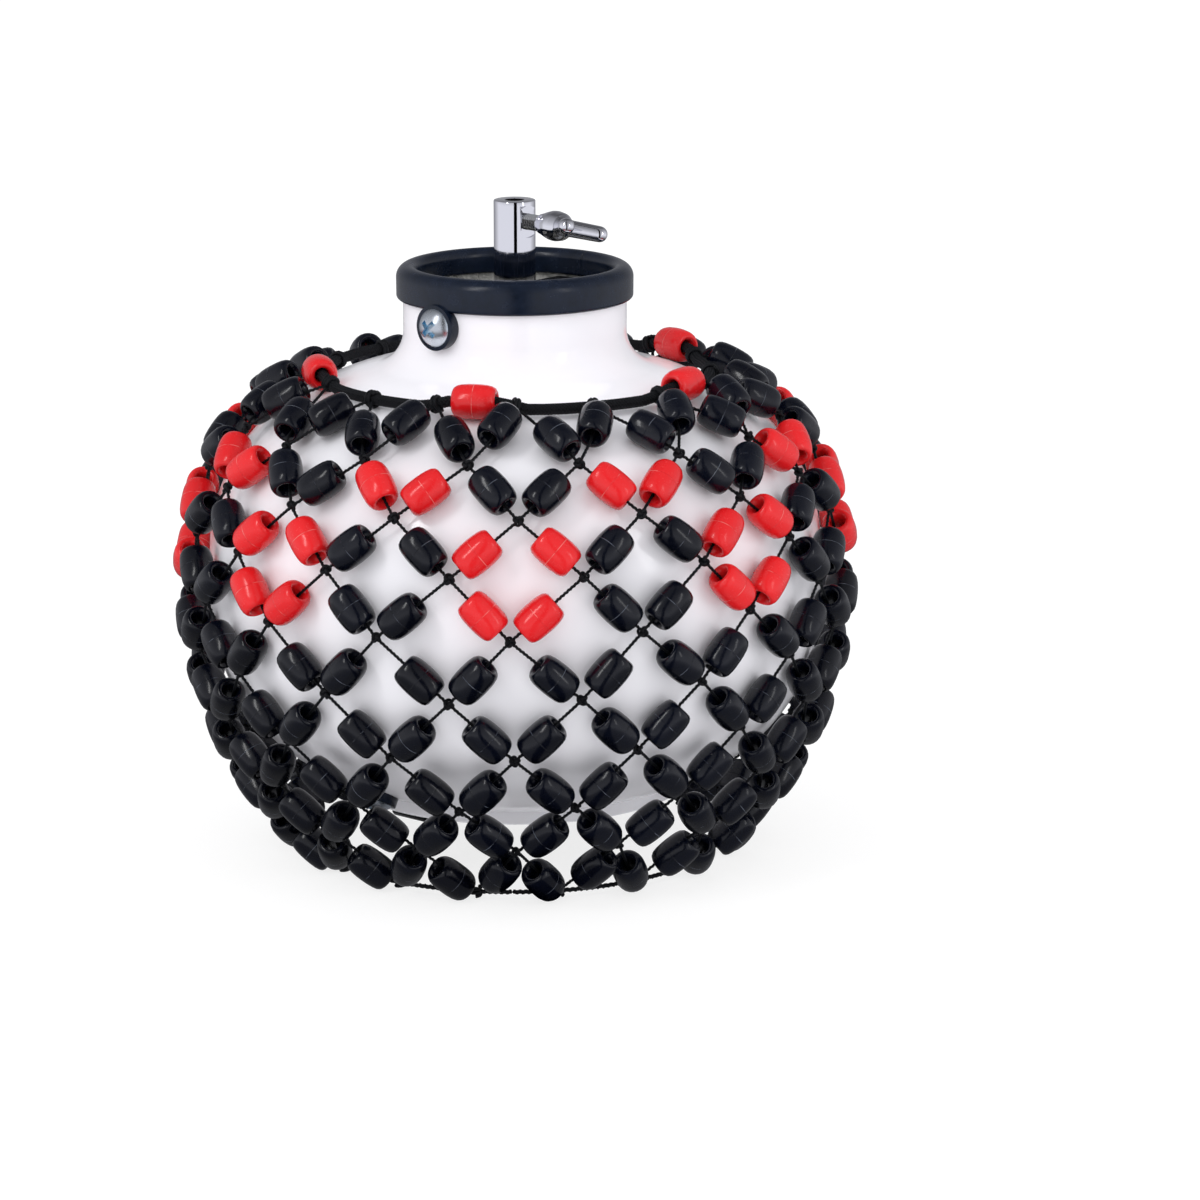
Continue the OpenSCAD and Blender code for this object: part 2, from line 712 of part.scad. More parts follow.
// A short wrapping of cord round a thicker one, its axis along the thicker cord
module wrapping(inner, outer, length) {
    difference() {
        cylinder(d = outer, h = length, center = true);
        cylinder(d = inner, h = length + 2 * cut, center = true);
    }
}
hitch_l = 2.2 * cord_d;
loop_l = 2.4 * cord_d;

module net_hitches() {
    color(black_cord) for (c = [0 : columns - 1]) {
        bearing = c * step + net_turn;
        ahead = neck_cord_place(bearing + 1);
        back = neck_cord_place(bearing - 1);
        along_line(neck_cord_place(bearing), unit(ahead - back))
            wrapping(neck_cord_d + 2 * run_gap, hitch_d, hitch_l);
    }
}

module net_foot_loops() {
    color(black_cord) for (c = row_columns(last_row)) {
        bearing = c * step + net_turn;
        along_line(place(foot_r, bearing, net_foot), [cos(bearing), sin(bearing), 0])
            wrapping(foot_cord_d + 2 * run_gap, loop_d, loop_l);
    }
}

// The cord that gathers the foot is a plain ring, so the net can turn round it
module foot_cord() {
    color(black_cord) translate([0, 0, net_foot]) rotate_extrude()
        translate([foot_r, 0]) circle(d = foot_cord_d);
}

// The neck cord is a closed tube through points worked out round the shoulder
cord_rings = 80;
cord_sides = 10;

module neck_cord() {
    turn = 360 / cord_rings;
    color(black_cord) skin([for (i = [0 : cord_rings - 1]) let (p = neck_cord_place(i * turn))
        cord_ring(p, unit(neck_cord_place((i + 1) * turn) - neck_cord_place((i - 1) * turn)),
            [0, 0, 1], neck_cord_d, cord_sides)], true);
}

module neck_beads() {
    color(red_bead) for (c = neck_bead_columns) {
        bearing = c * step + net_turn;
        along_line(threaded_place(bearing, bead_l), [cos(bearing), sin(bearing), 0]) bead();
    }
}

shell();
rim_trim();
upper_crossbar();
lower_crossbar();
rod_collar();
collar_nut();
guide_bush();
neck_screws();
neck_washers();
neck_nuts();
foot_screws();
foot_washers();
foot_nuts();
bolt_stud();
bolt_wings();
foot_cord();
neck_cord();
neck_beads();
net_hitches();
strand_rows(1, 1);  // net_strands_row_1
strand_rows(2, 4);  // net_strands_upper
strand_rows(5, last_row);  // net_strands_lower
net_knots();
net_foot_loops();
bead_row(1, false);  // beads_row_1
bead_row(2, true);  // beads_row_2_red
bead_row(2, false);  // beads_row_2_black
bead_row(3, true);  // beads_row_3_red
bead_row(3, false);  // beads_row_3_black
bead_row(4, true);  // beads_row_4_red
bead_row(4, false);  // beads_row_4_black
bead_row(5, false);  // beads_row_5
bead_row(6, false);  // beads_row_6
bead_row(7, false);  // beads_row_7
bead_row(8, false);  // beads_row_8
bead_row(9, false);  // beads_row_9
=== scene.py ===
import json
import math

import bmesh
import bpy
import numpy as np
from mathutils import Matrix, Vector


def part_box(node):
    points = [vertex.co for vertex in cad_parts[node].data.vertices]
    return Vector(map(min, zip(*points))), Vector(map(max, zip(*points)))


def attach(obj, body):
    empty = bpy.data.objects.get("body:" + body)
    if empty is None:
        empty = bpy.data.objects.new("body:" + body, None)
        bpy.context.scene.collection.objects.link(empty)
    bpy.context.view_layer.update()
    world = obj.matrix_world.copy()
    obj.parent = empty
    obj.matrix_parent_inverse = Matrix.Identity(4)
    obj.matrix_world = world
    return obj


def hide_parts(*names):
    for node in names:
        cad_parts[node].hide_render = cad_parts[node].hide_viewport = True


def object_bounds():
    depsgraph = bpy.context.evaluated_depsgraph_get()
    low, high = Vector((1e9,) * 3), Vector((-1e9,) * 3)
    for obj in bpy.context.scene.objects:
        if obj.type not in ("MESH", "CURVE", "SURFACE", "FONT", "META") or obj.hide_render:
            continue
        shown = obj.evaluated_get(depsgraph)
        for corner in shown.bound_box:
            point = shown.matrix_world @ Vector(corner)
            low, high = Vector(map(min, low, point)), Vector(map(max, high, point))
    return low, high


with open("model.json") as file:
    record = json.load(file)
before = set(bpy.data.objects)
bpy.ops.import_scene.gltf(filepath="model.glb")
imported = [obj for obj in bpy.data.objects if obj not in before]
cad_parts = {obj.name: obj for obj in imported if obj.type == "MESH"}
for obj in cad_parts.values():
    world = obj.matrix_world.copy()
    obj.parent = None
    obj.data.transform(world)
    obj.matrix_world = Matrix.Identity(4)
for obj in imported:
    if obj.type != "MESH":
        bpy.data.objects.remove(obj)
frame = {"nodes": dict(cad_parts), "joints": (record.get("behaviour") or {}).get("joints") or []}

# Shekere with a rod clamp. Sizes are in metres, and MM turns millimetres into them. +Z is up, the
# front is -Y, and bearings are in degrees from the front, positive towards +X.
MM = 0.001
cad_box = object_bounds()
nodes = frame["nodes"]


def linked(name, data):
    """A new object with its data, in the scene"""
    piece = bpy.data.objects.new(name, data)
    bpy.context.scene.collection.objects.link(piece)
    return piece


# Camera: a long lens, a little above the object, as photographed
LENS = 135
SENSOR = 36
CAMERA_PLACE = (0.03155, -1.6485, 0.2744)
PITCH = 13.52
camera_data = bpy.data.cameras.new("camera")
camera_data.lens = LENS
camera_data.sensor_width = SENSOR
camera = linked("camera", camera_data)
camera.location = CAMERA_PLACE
camera.rotation_euler = (math.radians(90 - PITCH), 0, 0)
bpy.context.scene.camera = camera
bpy.context.scene.view_settings.view_transform = "Standard"


# Nodes
def linear(code):
    """Linear colour of an sRGB hex value"""
    parts = [int(code[i:i + 2], 16) / 255 for i in (1, 3, 5)]
    return [c / 12.92 if c <= 0.04045 else ((c + 0.055) / 1.055) ** 2.4 for c in parts] + [1.0]


def add(tree, kind, inputs=None, **settings):
    """Adds a node to a tree, with its settings and with a value or a link for each input named"""
    node = tree.nodes.new(kind)
    for name, value in settings.items():
        setattr(node, name, value)
    for key, value in (inputs or {}).items():
        if isinstance(value, bpy.types.NodeSocket):
            tree.links.new(value, node.inputs[key])
        else:
            node.inputs[key].default_value = value
    return node


def calc(tree, operation, *values):
    """The result of an operation on numbers"""
    return add(tree, "ShaderNodeMath", dict(enumerate(values)), operation=operation).outputs[0]


def vector(tree, operation, *values):
    """The result of an operation on vectors"""
    return add(tree, "ShaderNodeVectorMath", dict(enumerate(values)),
               operation=operation).outputs[0]


def scaled(tree, way, size):
    """A vector times a number"""
    return add(tree, "ShaderNodeVectorMath", {0: way, "Scale": size}, operation="SCALE").outputs[0]


def parts_of(tree, place):
    """The X, Y and Z of a vector"""
    return add(tree, "ShaderNodeSeparateXYZ", {0: place}).outputs


def ranged(tree, value, low, high, start=0.0, end=1.0, curve="LINEAR"):
    """A value mapped from start..end to low..high"""
    return add(tree, "ShaderNodeMapRange", {"Value": value, "From Min": start, "From Max": end,
                                            "To Min": low, "To Max": high},
               interpolation_type=curve).outputs["Result"]


def mix_level(tree, factor, first, second):
    """A number between two numbers"""
    return add(tree, "ShaderNodeMix", {0: factor, 2: first, 3: second},
               data_type="FLOAT").outputs[0]


def mix_colour(tree, factor, first, second):
    """A colour between two colours, each a hex value, a linear colour or a socket"""
    first, second = (linear(c) if isinstance(c, str) else c for c in (first, second))
    return add(tree, "ShaderNodeMix", {0: factor, 6: first, 7: second},
               data_type="RGBA").outputs[2]


def mix_shader(tree, factor, first, second):
    """A shader between two shaders"""
    return add(tree, "ShaderNodeMixShader", {0: factor, 1: first, 2: second}).outputs[0]


def grain(tree, size, detail=3.0, roughness=0.55, output="Fac"):
    """Noise whose lumps are about a size across, in metres"""
    place = add(tree, "ShaderNodeTexCoord").outputs["Object"]
    return add(tree, "ShaderNodeTexNoise", {"Vector": place, "Scale": 1 / size, "Detail": detail,
                                            "Roughness": roughness}).outputs[output]


def blank(name):
    """A new material with an empty tree, as (material, tree)"""
    mat = bpy.data.materials.new(name)
    mat.use_nodes = True
    mat.node_tree.nodes.clear()
    return mat, mat.node_tree


def finish(name, sockets):
    """A new material with one Principled shader, as (material, tree, shader)"""
    mat, tree = blank(name)
    shader = add(tree, "ShaderNodeBsdfPrincipled", sockets)
    add(tree, "ShaderNodeOutputMaterial", {"Surface": shader.outputs["BSDF"]})
    return mat, tree, shader


def drive(shader, name, value):
    """Links a value to an input of a shader"""
    shader.id_data.links.new(value, shader.inputs[name])


def bump(tree, shader, height, depth, before=None):
    """Adds relief of a depth in metres to a shader, after any relief that is there before"""
    inputs = {"Height": height, "Distance": depth, "Strength": 1.0}
    if before is not None:
        inputs["Normal"] = before
    relief = add(tree, "ShaderNodeBump", inputs).outputs["Normal"]
    drive(shader, "Normal", relief)
    return relief


# Studio: white surroundings, a pale floor, one large soft lamp and a weaker one. A level of 1 is
# white.
AMBIENT = 1.14
BOUNCE = 1.2
FAR_LEVEL = 1.0
OVERHEAD_LEVEL = 0.3
CARD_LEVEL = 0.16
BACKDROP = 0.38
GAP_MIDDLE = 0.1
GAP_HALF_WIDTH = 0.15
LIGHT_TINT = (0.985, 0.985, 1, 1)
GLOSS_TINT = (0.93, 0.94, 1, 1)
FLOOR_HALF = 6.0
FLOOR_PAINT = (0.9, 0.9, 0.9, 1)
FLOOR_GLOW = 1.1
FLOOR_GLOW_SHARE = 0.72
MIDDLE = (0, 0, -0.1)


def screens(tree, direction):
    """What stands round the studio in a direction, from 0 for black to 1 for white: a dark gap in
    front, where the camera is, and a grey backdrop behind"""
    level_way = vector(tree, "MULTIPLY", direction, (1, 1, 0))
    way = parts_of(tree, vector(tree, "NORMALIZE", level_way))
    front = calc(tree, "LESS_THAN", way["Y"], 0.0)
    inside = calc(tree, "COMPARE", way["X"], GAP_MIDDLE, GAP_HALF_WIDTH)
    open_part = calc(tree, "SUBTRACT", 1.0, calc(tree, "MULTIPLY", front, inside))
    backdrop = ranged(tree, way["Y"], 1.0, BACKDROP, start=0.1, end=0.8)
    return calc(tree, "MULTIPLY", backdrop, open_part)


def make_world():
    """White for the camera and about as bright for the object. Its gloss sees the screens, bright
    at the horizon and dim overhead."""
    world = bpy.data.worlds.new("studio")
    world.use_nodes = True
    tree = world.node_tree
    tree.nodes.clear()
    rays = add(tree, "ShaderNodeLightPath").outputs
    way = add(tree, "ShaderNodeTexCoord").outputs["Generated"]
    sky = ranged(tree, parts_of(tree, way)["Z"], FAR_LEVEL, OVERHEAD_LEVEL, start=0.0, end=0.9)
    shade = calc(tree, "MULTIPLY", sky, screens(tree, way))
    lit = mix_level(tree, rays["Is Glossy Ray"], AMBIENT, shade)
    level = mix_level(tree, rays["Is Camera Ray"], lit, 1.0)
    tint = mix_colour(tree, rays["Is Glossy Ray"], LIGHT_TINT, GLOSS_TINT)
    light = add(tree, "ShaderNodeBackground", {"Color": tint, "Strength": level})
    add(tree, "ShaderNodeOutputWorld", {"Surface": light.outputs[0]})
    bpy.context.scene.world = world


def glow(tree, colour, level):
    """Light of a colour and a level"""
    return add(tree, "ShaderNodeEmission", {"Color": colour, "Strength": level}).outputs[0]


def make_floor(level):
    """A wide pale floor that shows as white and keeps the object's shadow"""
    mesh = bpy.data.meshes.new("floor")
    corners = ((-FLOOR_HALF, -FLOOR_HALF), (FLOOR_HALF, -FLOOR_HALF),
               (FLOOR_HALF, FLOOR_HALF), (-FLOOR_HALF, FLOOR_HALF))
    mesh.from_pydata([(x, y, level) for x, y in corners], [], [(0, 1, 2, 3)])
    floor = linked("floor", mesh)
    mat, tree = blank("pale_floor")
    rays = add(tree, "ShaderNodeLightPath").outputs
    # Gloss sees the floor dim close to the object, as over a dark card, and bright farther off
    place = add(tree, "ShaderNodeTexCoord").outputs["Object"]
    reach = add(tree, "ShaderNodeVectorMath", {0: place}, operation="LENGTH").outputs["Value"]
    far = ranged(tree, reach, CARD_LEVEL, FAR_LEVEL, start=0.1, end=0.95, curve="SMOOTHSTEP")
    card = glow(tree, GLOSS_TINT, calc(tree, "MULTIPLY", far, screens(tree, place)))
    paint = add(tree, "ShaderNodeBsdfDiffuse", {"Color": FLOOR_PAINT}).outputs[0]
    # It throws an even light up under the object
    bounce = glow(tree, LIGHT_TINT, BOUNCE)
    lit = mix_shader(tree, rays["Is Diffuse Ray"], paint, bounce)
    below = mix_shader(tree, rays["Is Glossy Ray"], lit, card)
    seen = calc(tree, "MULTIPLY", rays["Is Camera Ray"], FLOOR_GLOW_SHARE)
    mixed = mix_shader(tree, seen, below, glow(tree, (1, 1, 1, 1), FLOOR_GLOW))
    add(tree, "ShaderNodeOutputMaterial", {"Surface": mixed})
    mesh.materials.append(mat)


def make_lamp(name, place, width, height, power):
    """A rectangular soft lamp that faces the object's middle"""
    data = bpy.data.lights.new(name, "AREA")
    data.shape = "RECTANGLE"
    data.size = width
    data.size_y = height
    data.energy = power
    lamp = linked(name, data)
    lamp.location = place
    way = Vector(MIDDLE) - Vector(place)
    lamp.rotation_euler = way.to_track_quat("-Z", "Y").to_euler()


make_world()
make_floor(cad_box[0][2])
make_lamp("key_lamp", (-0.95, -1.1, 1.1), width=0.22, height=1.0, power=6.5)
make_lamp("fill_lamp", (1.2, -1.0, 0.5), width=0.16, height=0.8, power=1.6)

# Sizes that materials and shapes share
BEAD_L = 16.3 * MM
BEAD_D = 12.9 * MM
BEAD_BORE = 4.6 * MM
JOINT_BEARING = 137


# Materials
def make_gelcoat():
    """Polyester gelcoat, moulded: white, very glossy, with a slow waviness and faint handling
    marks"""
    mat, tree, shader = finish("white_gelcoat", {"IOR": 1.5})
    drive(shader, "Base Color", mix_colour(tree, grain(tree, 60 * MM), "#F2F1F6", "#F8F7FB"))
    marks = grain(tree, 9 * MM, detail=6.0, roughness=0.7)
    drive(shader, "Roughness", ranged(tree, marks, 0.1, 0.22, start=0.35, end=0.75))
    bump(tree, shader, grain(tree, 14 * MM, detail=1.0), 0.05 * MM)
    return mat


def make_laminate():
    """Raw glass-fibre laminate, hand laid: grey-white and mottled, with strands under dull
    resin"""
    mat, tree, shader = finish("raw_laminate", {"IOR": 1.52, "Roughness": 0.5})
    place = add(tree, "ShaderNodeTexCoord").outputs["Object"]
    strand_width = 1.6 * MM
    sway = 6 * MM
    swirl = grain(tree, 8 * MM, detail=2.0, output="Color")
    bent = vector(tree, "MULTIPLY_ADD", swirl, (sway, sway, sway), place)
    strands = add(tree, "ShaderNodeTexWave",
                  {"Vector": bent, "Scale": 1 / (3 * strand_width), "Distortion": 6.0,
                   "Detail": 3.0, "Detail Scale": 1.3},
                  wave_type="BANDS", bands_direction="DIAGONAL").outputs["Fac"]
    blotch = grain(tree, 5 * MM, detail=5.0, roughness=0.7)
    grey = mix_colour(tree, ranged(tree, blotch, 0, 1, start=0.35, end=0.65), "#8D8D8A", "#D2D1CC")
    drive(shader, "Base Color", mix_colour(tree, ranged(tree, strands, 0, 0.35), grey, "#E9E8E3"))
    bump(tree, shader, strands, 0.25 * MM)
    return mat


def make_rubber():
    """Extruded rubber: blue-black, half matt, with a fine skin and the joint where its ends
    meet"""
    mat, tree, shader = finish("black_rubber", {"IOR": 1.5, "Specular IOR Level": 0.3})
    haze = grain(tree, 7 * MM, detail=5.0, roughness=0.65)
    drive(shader, "Base Color",
          mix_colour(tree, ranged(tree, haze, 0, 1, start=0.35, end=0.7), "#0B1422", "#131D2F"))
    drive(shader, "Roughness", ranged(tree, haze, 0.2, 0.3, start=0.3, end=0.7))
    skin = bump(tree, shader, grain(tree, 0.5 * MM, detail=2.0), 0.02 * MM)
    # The joint is a thin upright cut at one bearing
    place = add(tree, "ShaderNodeTexCoord").outputs["Object"]
    turned = add(tree, "ShaderNodeVectorRotate",
                 {"Vector": place, "Angle": math.radians(90 - JOINT_BEARING)},
                 rotation_type="Z_AXIS").outputs[0]
    parts = parts_of(tree, turned)
    ahead = calc(tree, "GREATER_THAN", parts["X"], 0.0)
    off = calc(tree, "ABSOLUTE", parts["Y"])
    cut = ranged(tree, off, 1.0, 0.0, start=0.15 * MM, end=0.45 * MM)
    groove = calc(tree, "MULTIPLY", cut, ahead)
    bump(tree, shader, calc(tree, "MULTIPLY", groove, -1.0), 0.5 * MM, skin)
    return mat


def make_paint():
    """Stoved black paint on flat bar: satin, a little orange peel, thin at rubbed places"""
    mat, tree, shader = finish("black_paint", {"IOR": 1.5})
    rub = grain(tree, 5 * MM, detail=6.0, roughness=0.7)
    drive(shader, "Base Color",
          mix_colour(tree, ranged(tree, rub, 0, 1, start=0.62, end=0.8), "#0F1013", "#2C2E32"))
    drive(shader, "Roughness", ranged(tree, rub, 0.16, 0.3, start=0.3, end=0.7))
    bump(tree, shader, grain(tree, 0.9 * MM, detail=2.0), 0.03 * MM)
    return mat


def make_chrome():
    """Chrome plate: a near-white mirror with faint smears where it is handled"""
    mat, tree, shader = finish("chrome_plate", {"Metallic": 1.0, "Base Color": linear("#DDDDE3")})
    smear = grain(tree, 4 * MM, detail=5.0, roughness=0.7)
    drive(shader, "Roughness", ranged(tree, smear, 0.03, 0.11, start=0.4, end=0.75))
    return mat


def make_zinc(name, blue):
    """Bright zinc plate: soft grey metal, with a share of blue passivate that gathers dull in the
    hollows"""
    mat, tree, shader = finish(name, {})
    cloud = grain(tree, 3 * MM, detail=4.0, roughness=0.6)
    plain = mix_colour(tree, cloud, "#CFD3D8", "#BCC3CC")
    openness = add(tree, "ShaderNodeAmbientOcclusion", {"Distance": 2.5 * MM},
                   samples=8).outputs["AO"]
    gathered = ranged(tree, openness, blue, 0, start=0.25, end=0.85)
    drive(shader, "Base Color", mix_colour(tree, gathered, plain, "#3FA6D2"))
    drive(shader, "Metallic", ranged(tree, openness, 1 - 0.8 * blue, 1, start=0.25, end=0.85))
    drive(shader, "Roughness", ranged(tree, cloud, 0.22, 0.36, start=0.3, end=0.7))
    return mat


def make_thread():
    """Chrome plate on a rolled thread, with dark brown shade painted down in its roots"""
    mat, tree, shader = finish("thread_plate", {"Roughness": 0.16})
    root = add(tree, "ShaderNodeAttribute", attribute_name="root").outputs["Fac"]
    # Painted shade: the thread's roots are painted dark brown and made less metallic, so that its
    # turns show
    root_shade = ranged(tree, root, 0.0, 1.0, start=0.35, end=0.9)
    drive(shader, "Base Color", mix_colour(tree, root_shade, "#D9DBDE", "#3A2C26"))
    drive(shader, "Metallic", ranged(tree, root, 1.0, 0.3, start=0.35, end=0.9))
    return mat


def make_nylon():
    """Turned nylon: matt black, faintly waxy"""
    mat, tree, shader = finish("black_nylon", {"IOR": 1.53, "Roughness": 0.48})
    rings = grain(tree, 0.7 * MM, detail=2.0)
    drive(shader, "Base Color", mix_colour(tree, rings, "#131415", "#1D1E20"))
    bump(tree, shader, rings, 0.02 * MM)
    return mat


def make_cord():
    """Waxed polyester cord: black, with a soft sheen along its fine fibres"""
    mat, tree, shader = finish("waxed_cord", {"IOR": 1.5, "Specular IOR Level": 0.25,
                                              "Sheen Weight": 0.05, "Sheen Roughness": 0.4,
                                              "Sheen Tint": linear("#9AA0AC")})
    fibre = grain(tree, 0.35 * MM, detail=3.0, roughness=0.7)
    drive(shader, "Base Color",
          mix_colour(tree, ranged(tree, fibre, 0, 1, start=0.3, end=0.75), "#07080B", "#16181E"))
    drive(shader, "Roughness", ranged(tree, fibre, 0.5, 0.72, start=0.3, end=0.7))
    bump(tree, shader, fibre, 0.06 * MM)
    return mat


def make_bead_plastic(name, first, second, worn, gloss):
    """Moulded polystyrene: smooth gloss, each bead a shade apart, with the pale thread of its
    parting line round the middle and fine scuffs"""
    mat, tree, shader = finish(name, {"IOR": 1.5, "Specular IOR Level": gloss,
                                      "Coat Weight": 0.22, "Coat Roughness": 0.09})
    tone = add(tree, "ShaderNodeAttribute", attribute_name="tone").outputs["Fac"]
    height = add(tree, "ShaderNodeAttribute", attribute_name="height").outputs["Fac"]
    line_half = 0.2 * MM / (BEAD_L / 2)
    off = calc(tree, "ABSOLUTE", height)
    ridge = ranged(tree, off, 1.0, 0.0, start=0.3 * line_half, end=line_half)
    patchy = ranged(tree, grain(tree, 5 * MM, detail=2.0), 0.0, 0.7, start=0.45, end=0.6)
    rubbed = calc(tree, "MULTIPLY", ridge, patchy)
    plain = mix_colour(tree, tone, first, second)
    drive(shader, "Base Color", mix_colour(tree, rubbed, plain, worn))
    scuff = grain(tree, 1.6 * MM, detail=6.0, roughness=0.72)
    drive(shader, "Roughness", ranged(tree, scuff, 0.2, 0.36, start=0.42, end=0.8))
    relief = bump(tree, shader, ridge, 0.1 * MM)
    # The moulding sinks a little as it cools, which bends the highlights
    bump(tree, shader, grain(tree, 4 * MM, detail=1.0), 0.12 * MM, relief)
    return mat


gelcoat = make_gelcoat()
laminate = make_laminate()
rubber = make_rubber()
paint = make_paint()
chrome = make_chrome()
thread_chrome = make_thread()
zinc = make_zinc("zinc_plate", 0.25)
screw_zinc = make_zinc("screw_zinc", 0.9)
nylon = make_nylon()
cord_black = make_cord()
bead_red = make_bead_plastic("red_bead_plastic", "#D0151A", "#DE1F23", "#F4837D", 0.34)
bead_black = make_bead_plastic("black_bead_plastic", "#030510", "#070B18", "#5B616C", 0.25)


# Meshes
SAME_PLACE = 1e-6
CAD_SAME_PLACE = 2e-6


def applied(piece, name, *spent):
    """The mesh that a piece's modifiers make. The piece goes, with the objects that it used."""
    bpy.context.view_layer.update()
    graph = bpy.context.evaluated_depsgraph_get()
    mesh = bpy.data.meshes.new_from_object(piece.evaluated_get(graph), depsgraph=graph)
    mesh.name = name
    for used in (piece, *spent):
        bpy.data.objects.remove(used)
    return mesh


def smooth_to(mesh, angle):
    """Makes a mesh smooth, but for edges sharper than an angle in degrees"""
    mesh.shade_smooth()
    mesh.set_sharp_from_angle(angle=math.radians(angle))


def cleaned(mesh, doubles=SAME_PLACE):
    """The same mesh with its doubles merged, its faces outward and smooth"""
    work = bmesh.new()
    work.from_mesh(mesh)
    bmesh.ops.remove_doubles(work, verts=work.verts, dist=doubles)
    bmesh.ops.recalc_face_normals(work, faces=work.faces)
    work.to_mesh(mesh)
    work.free()
    mesh.shade_smooth()
    return mesh


def revolved(name, outline, sides, joined=False):
    """A mesh turned round the Z axis from (radius, height) points, closed if its outline is
    joined"""
    count = len(outline)
    verts = []
    for i in range(sides):
        turn = 2 * math.pi * i / sides
        verts += [(r * math.sin(turn), -r * math.cos(turn), z) for r, z in outline]
    spans = range(count) if joined else range(count - 1)
    faces = [(i * count + j, ((i + 1) % sides) * count + j,
              ((i + 1) % sides) * count + (j + 1) % count, i * count + (j + 1) % count)
             for i in range(sides) for j in spans]
    mesh = bpy.data.meshes.new(name)
    mesh.from_pydata(verts, [], faces)
    return cleaned(mesh)


def solids_of(node):
    """The vertices of each separate solid of a CAD node, as arrays"""
    work = bmesh.new()
    work.from_mesh(nodes[node].data)
    bmesh.ops.remove_doubles(work, verts=work.verts, dist=SAME_PLACE)
    work.verts.ensure_lookup_table()
    work.verts.index_update()
    seen = bytearray(len(work.verts))
    solids = []
    for start in work.verts:
        if seen[start.index]:
            continue
        seen[start.index] = 1
        waiting = [start]
        found = []
        while waiting:
            vert = waiting.pop()
            found.append(vert.co[:])
            for edge in vert.link_edges:
                other = edge.other_vert(vert)
                if not seen[other.index]:
                    seen[other.index] = 1
                    waiting.append(other)
        solids.append(np.array(found))
    work.free()
    return solids


def middle_and_axes(points):
    """Middle of a solid and its axes, from the shortest to the longest"""
    centre = points.mean(0)
    axes = np.linalg.eigh(np.cov((points - centre).T))[1]
    spans = (points - centre) @ axes
    middle = centre + axes @ ((spans.max(0) + spans.min(0)) / 2)
    return middle, axes.T


def facing_up(direction):
    """The direction or its opposite, whichever points up"""
    return direction if direction[2] >= 0 else -direction


def seed_points(name, places, along):
    """A mesh of single points, each with the direction that its shape lies along"""
    mesh = bpy.data.meshes.new(name)
    mesh.from_pydata([tuple(p) for p in places], [], [])
    attribute = mesh.attributes.new("along", "FLOAT_VECTOR", "POINT")
    attribute.data.foreach_set("vector", np.asarray(along, np.float32).ravel())
    return mesh


def line_mesh(name, lines, closed=False):
    """A mesh of edges through each line of places"""
    mesh = bpy.data.meshes.new(name)
    verts = []
    edges = []
    for line in lines:
        first = len(verts)
        verts += [tuple(p) for p in line]
        edges += [(first + i, first + i + 1) for i in range(len(line) - 1)]
        if closed:
            edges.append((len(verts) - 1, first))
    mesh.from_pydata(verts, edges, [])
    return mesh


# Geometry trees
ROLL_SEED = 3
SIZE_SEED = 5
TONE_SEED = 11
BEND_STEPS = 5
LOBES = 3
YARN_SIDES = 4
CORE_SIDES = 10


def new_tree(name, labels):
    """An empty geometry tree with a named input for each label, as (tree, its inputs)"""
    tree = bpy.data.node_groups.new(name, "GeometryNodeTree")
    tree.interface.new_socket("Geometry", in_out="INPUT", socket_type="NodeSocketGeometry")
    for label, kind in labels.items():
        tree.interface.new_socket(label, in_out="INPUT", socket_type="NodeSocket" + kind)
    tree.interface.new_socket("Geometry", in_out="OUTPUT", socket_type="NodeSocketGeometry")
    return tree, add(tree, "NodeGroupInput").outputs


def close_tree(tree, given, geometry):
    """Ends a tree: instances made real, smooth faces and the finish that was given"""
    real = add(tree, "GeometryNodeRealizeInstances", {"Geometry": geometry})
    smooth = add(tree, "GeometryNodeSetShadeSmooth", {"Geometry": real.outputs[0]})
    painted = add(tree, "GeometryNodeSetMaterial", {"Geometry": smooth.outputs[0],
                                                    "Material": given["Finish"]})
    add(tree, "NodeGroupOutput", {"Geometry": painted.outputs[0]})
    return tree


def grown(name, mesh, tree, sizes):
    """A piece that a geometry tree makes on a mesh, turned into a plain mesh"""
    seed = linked(name + "_seed", mesh)
    modifier = seed.modifiers.new("tree", "NODES")
    modifier.node_group = tree
    for item in tree.interface.items_tree:
        if item.in_out == "INPUT" and item.name in sizes:
            modifier[item.identifier] = sizes[item.name]
    return linked(name, applied(seed, name))


def random_value(tree, low, high, seed):
    """A random number for each point"""
    return add(tree, "FunctionNodeRandomValue", {2: low, 3: high, 8: seed},
               data_type="FLOAT").outputs[1]


def even_steps(tree, curve, step):
    """A curve with its points a step apart"""
    return add(tree, "GeometryNodeResampleCurve", {"Curve": curve, "Length": step},
               mode="LENGTH").outputs[0]


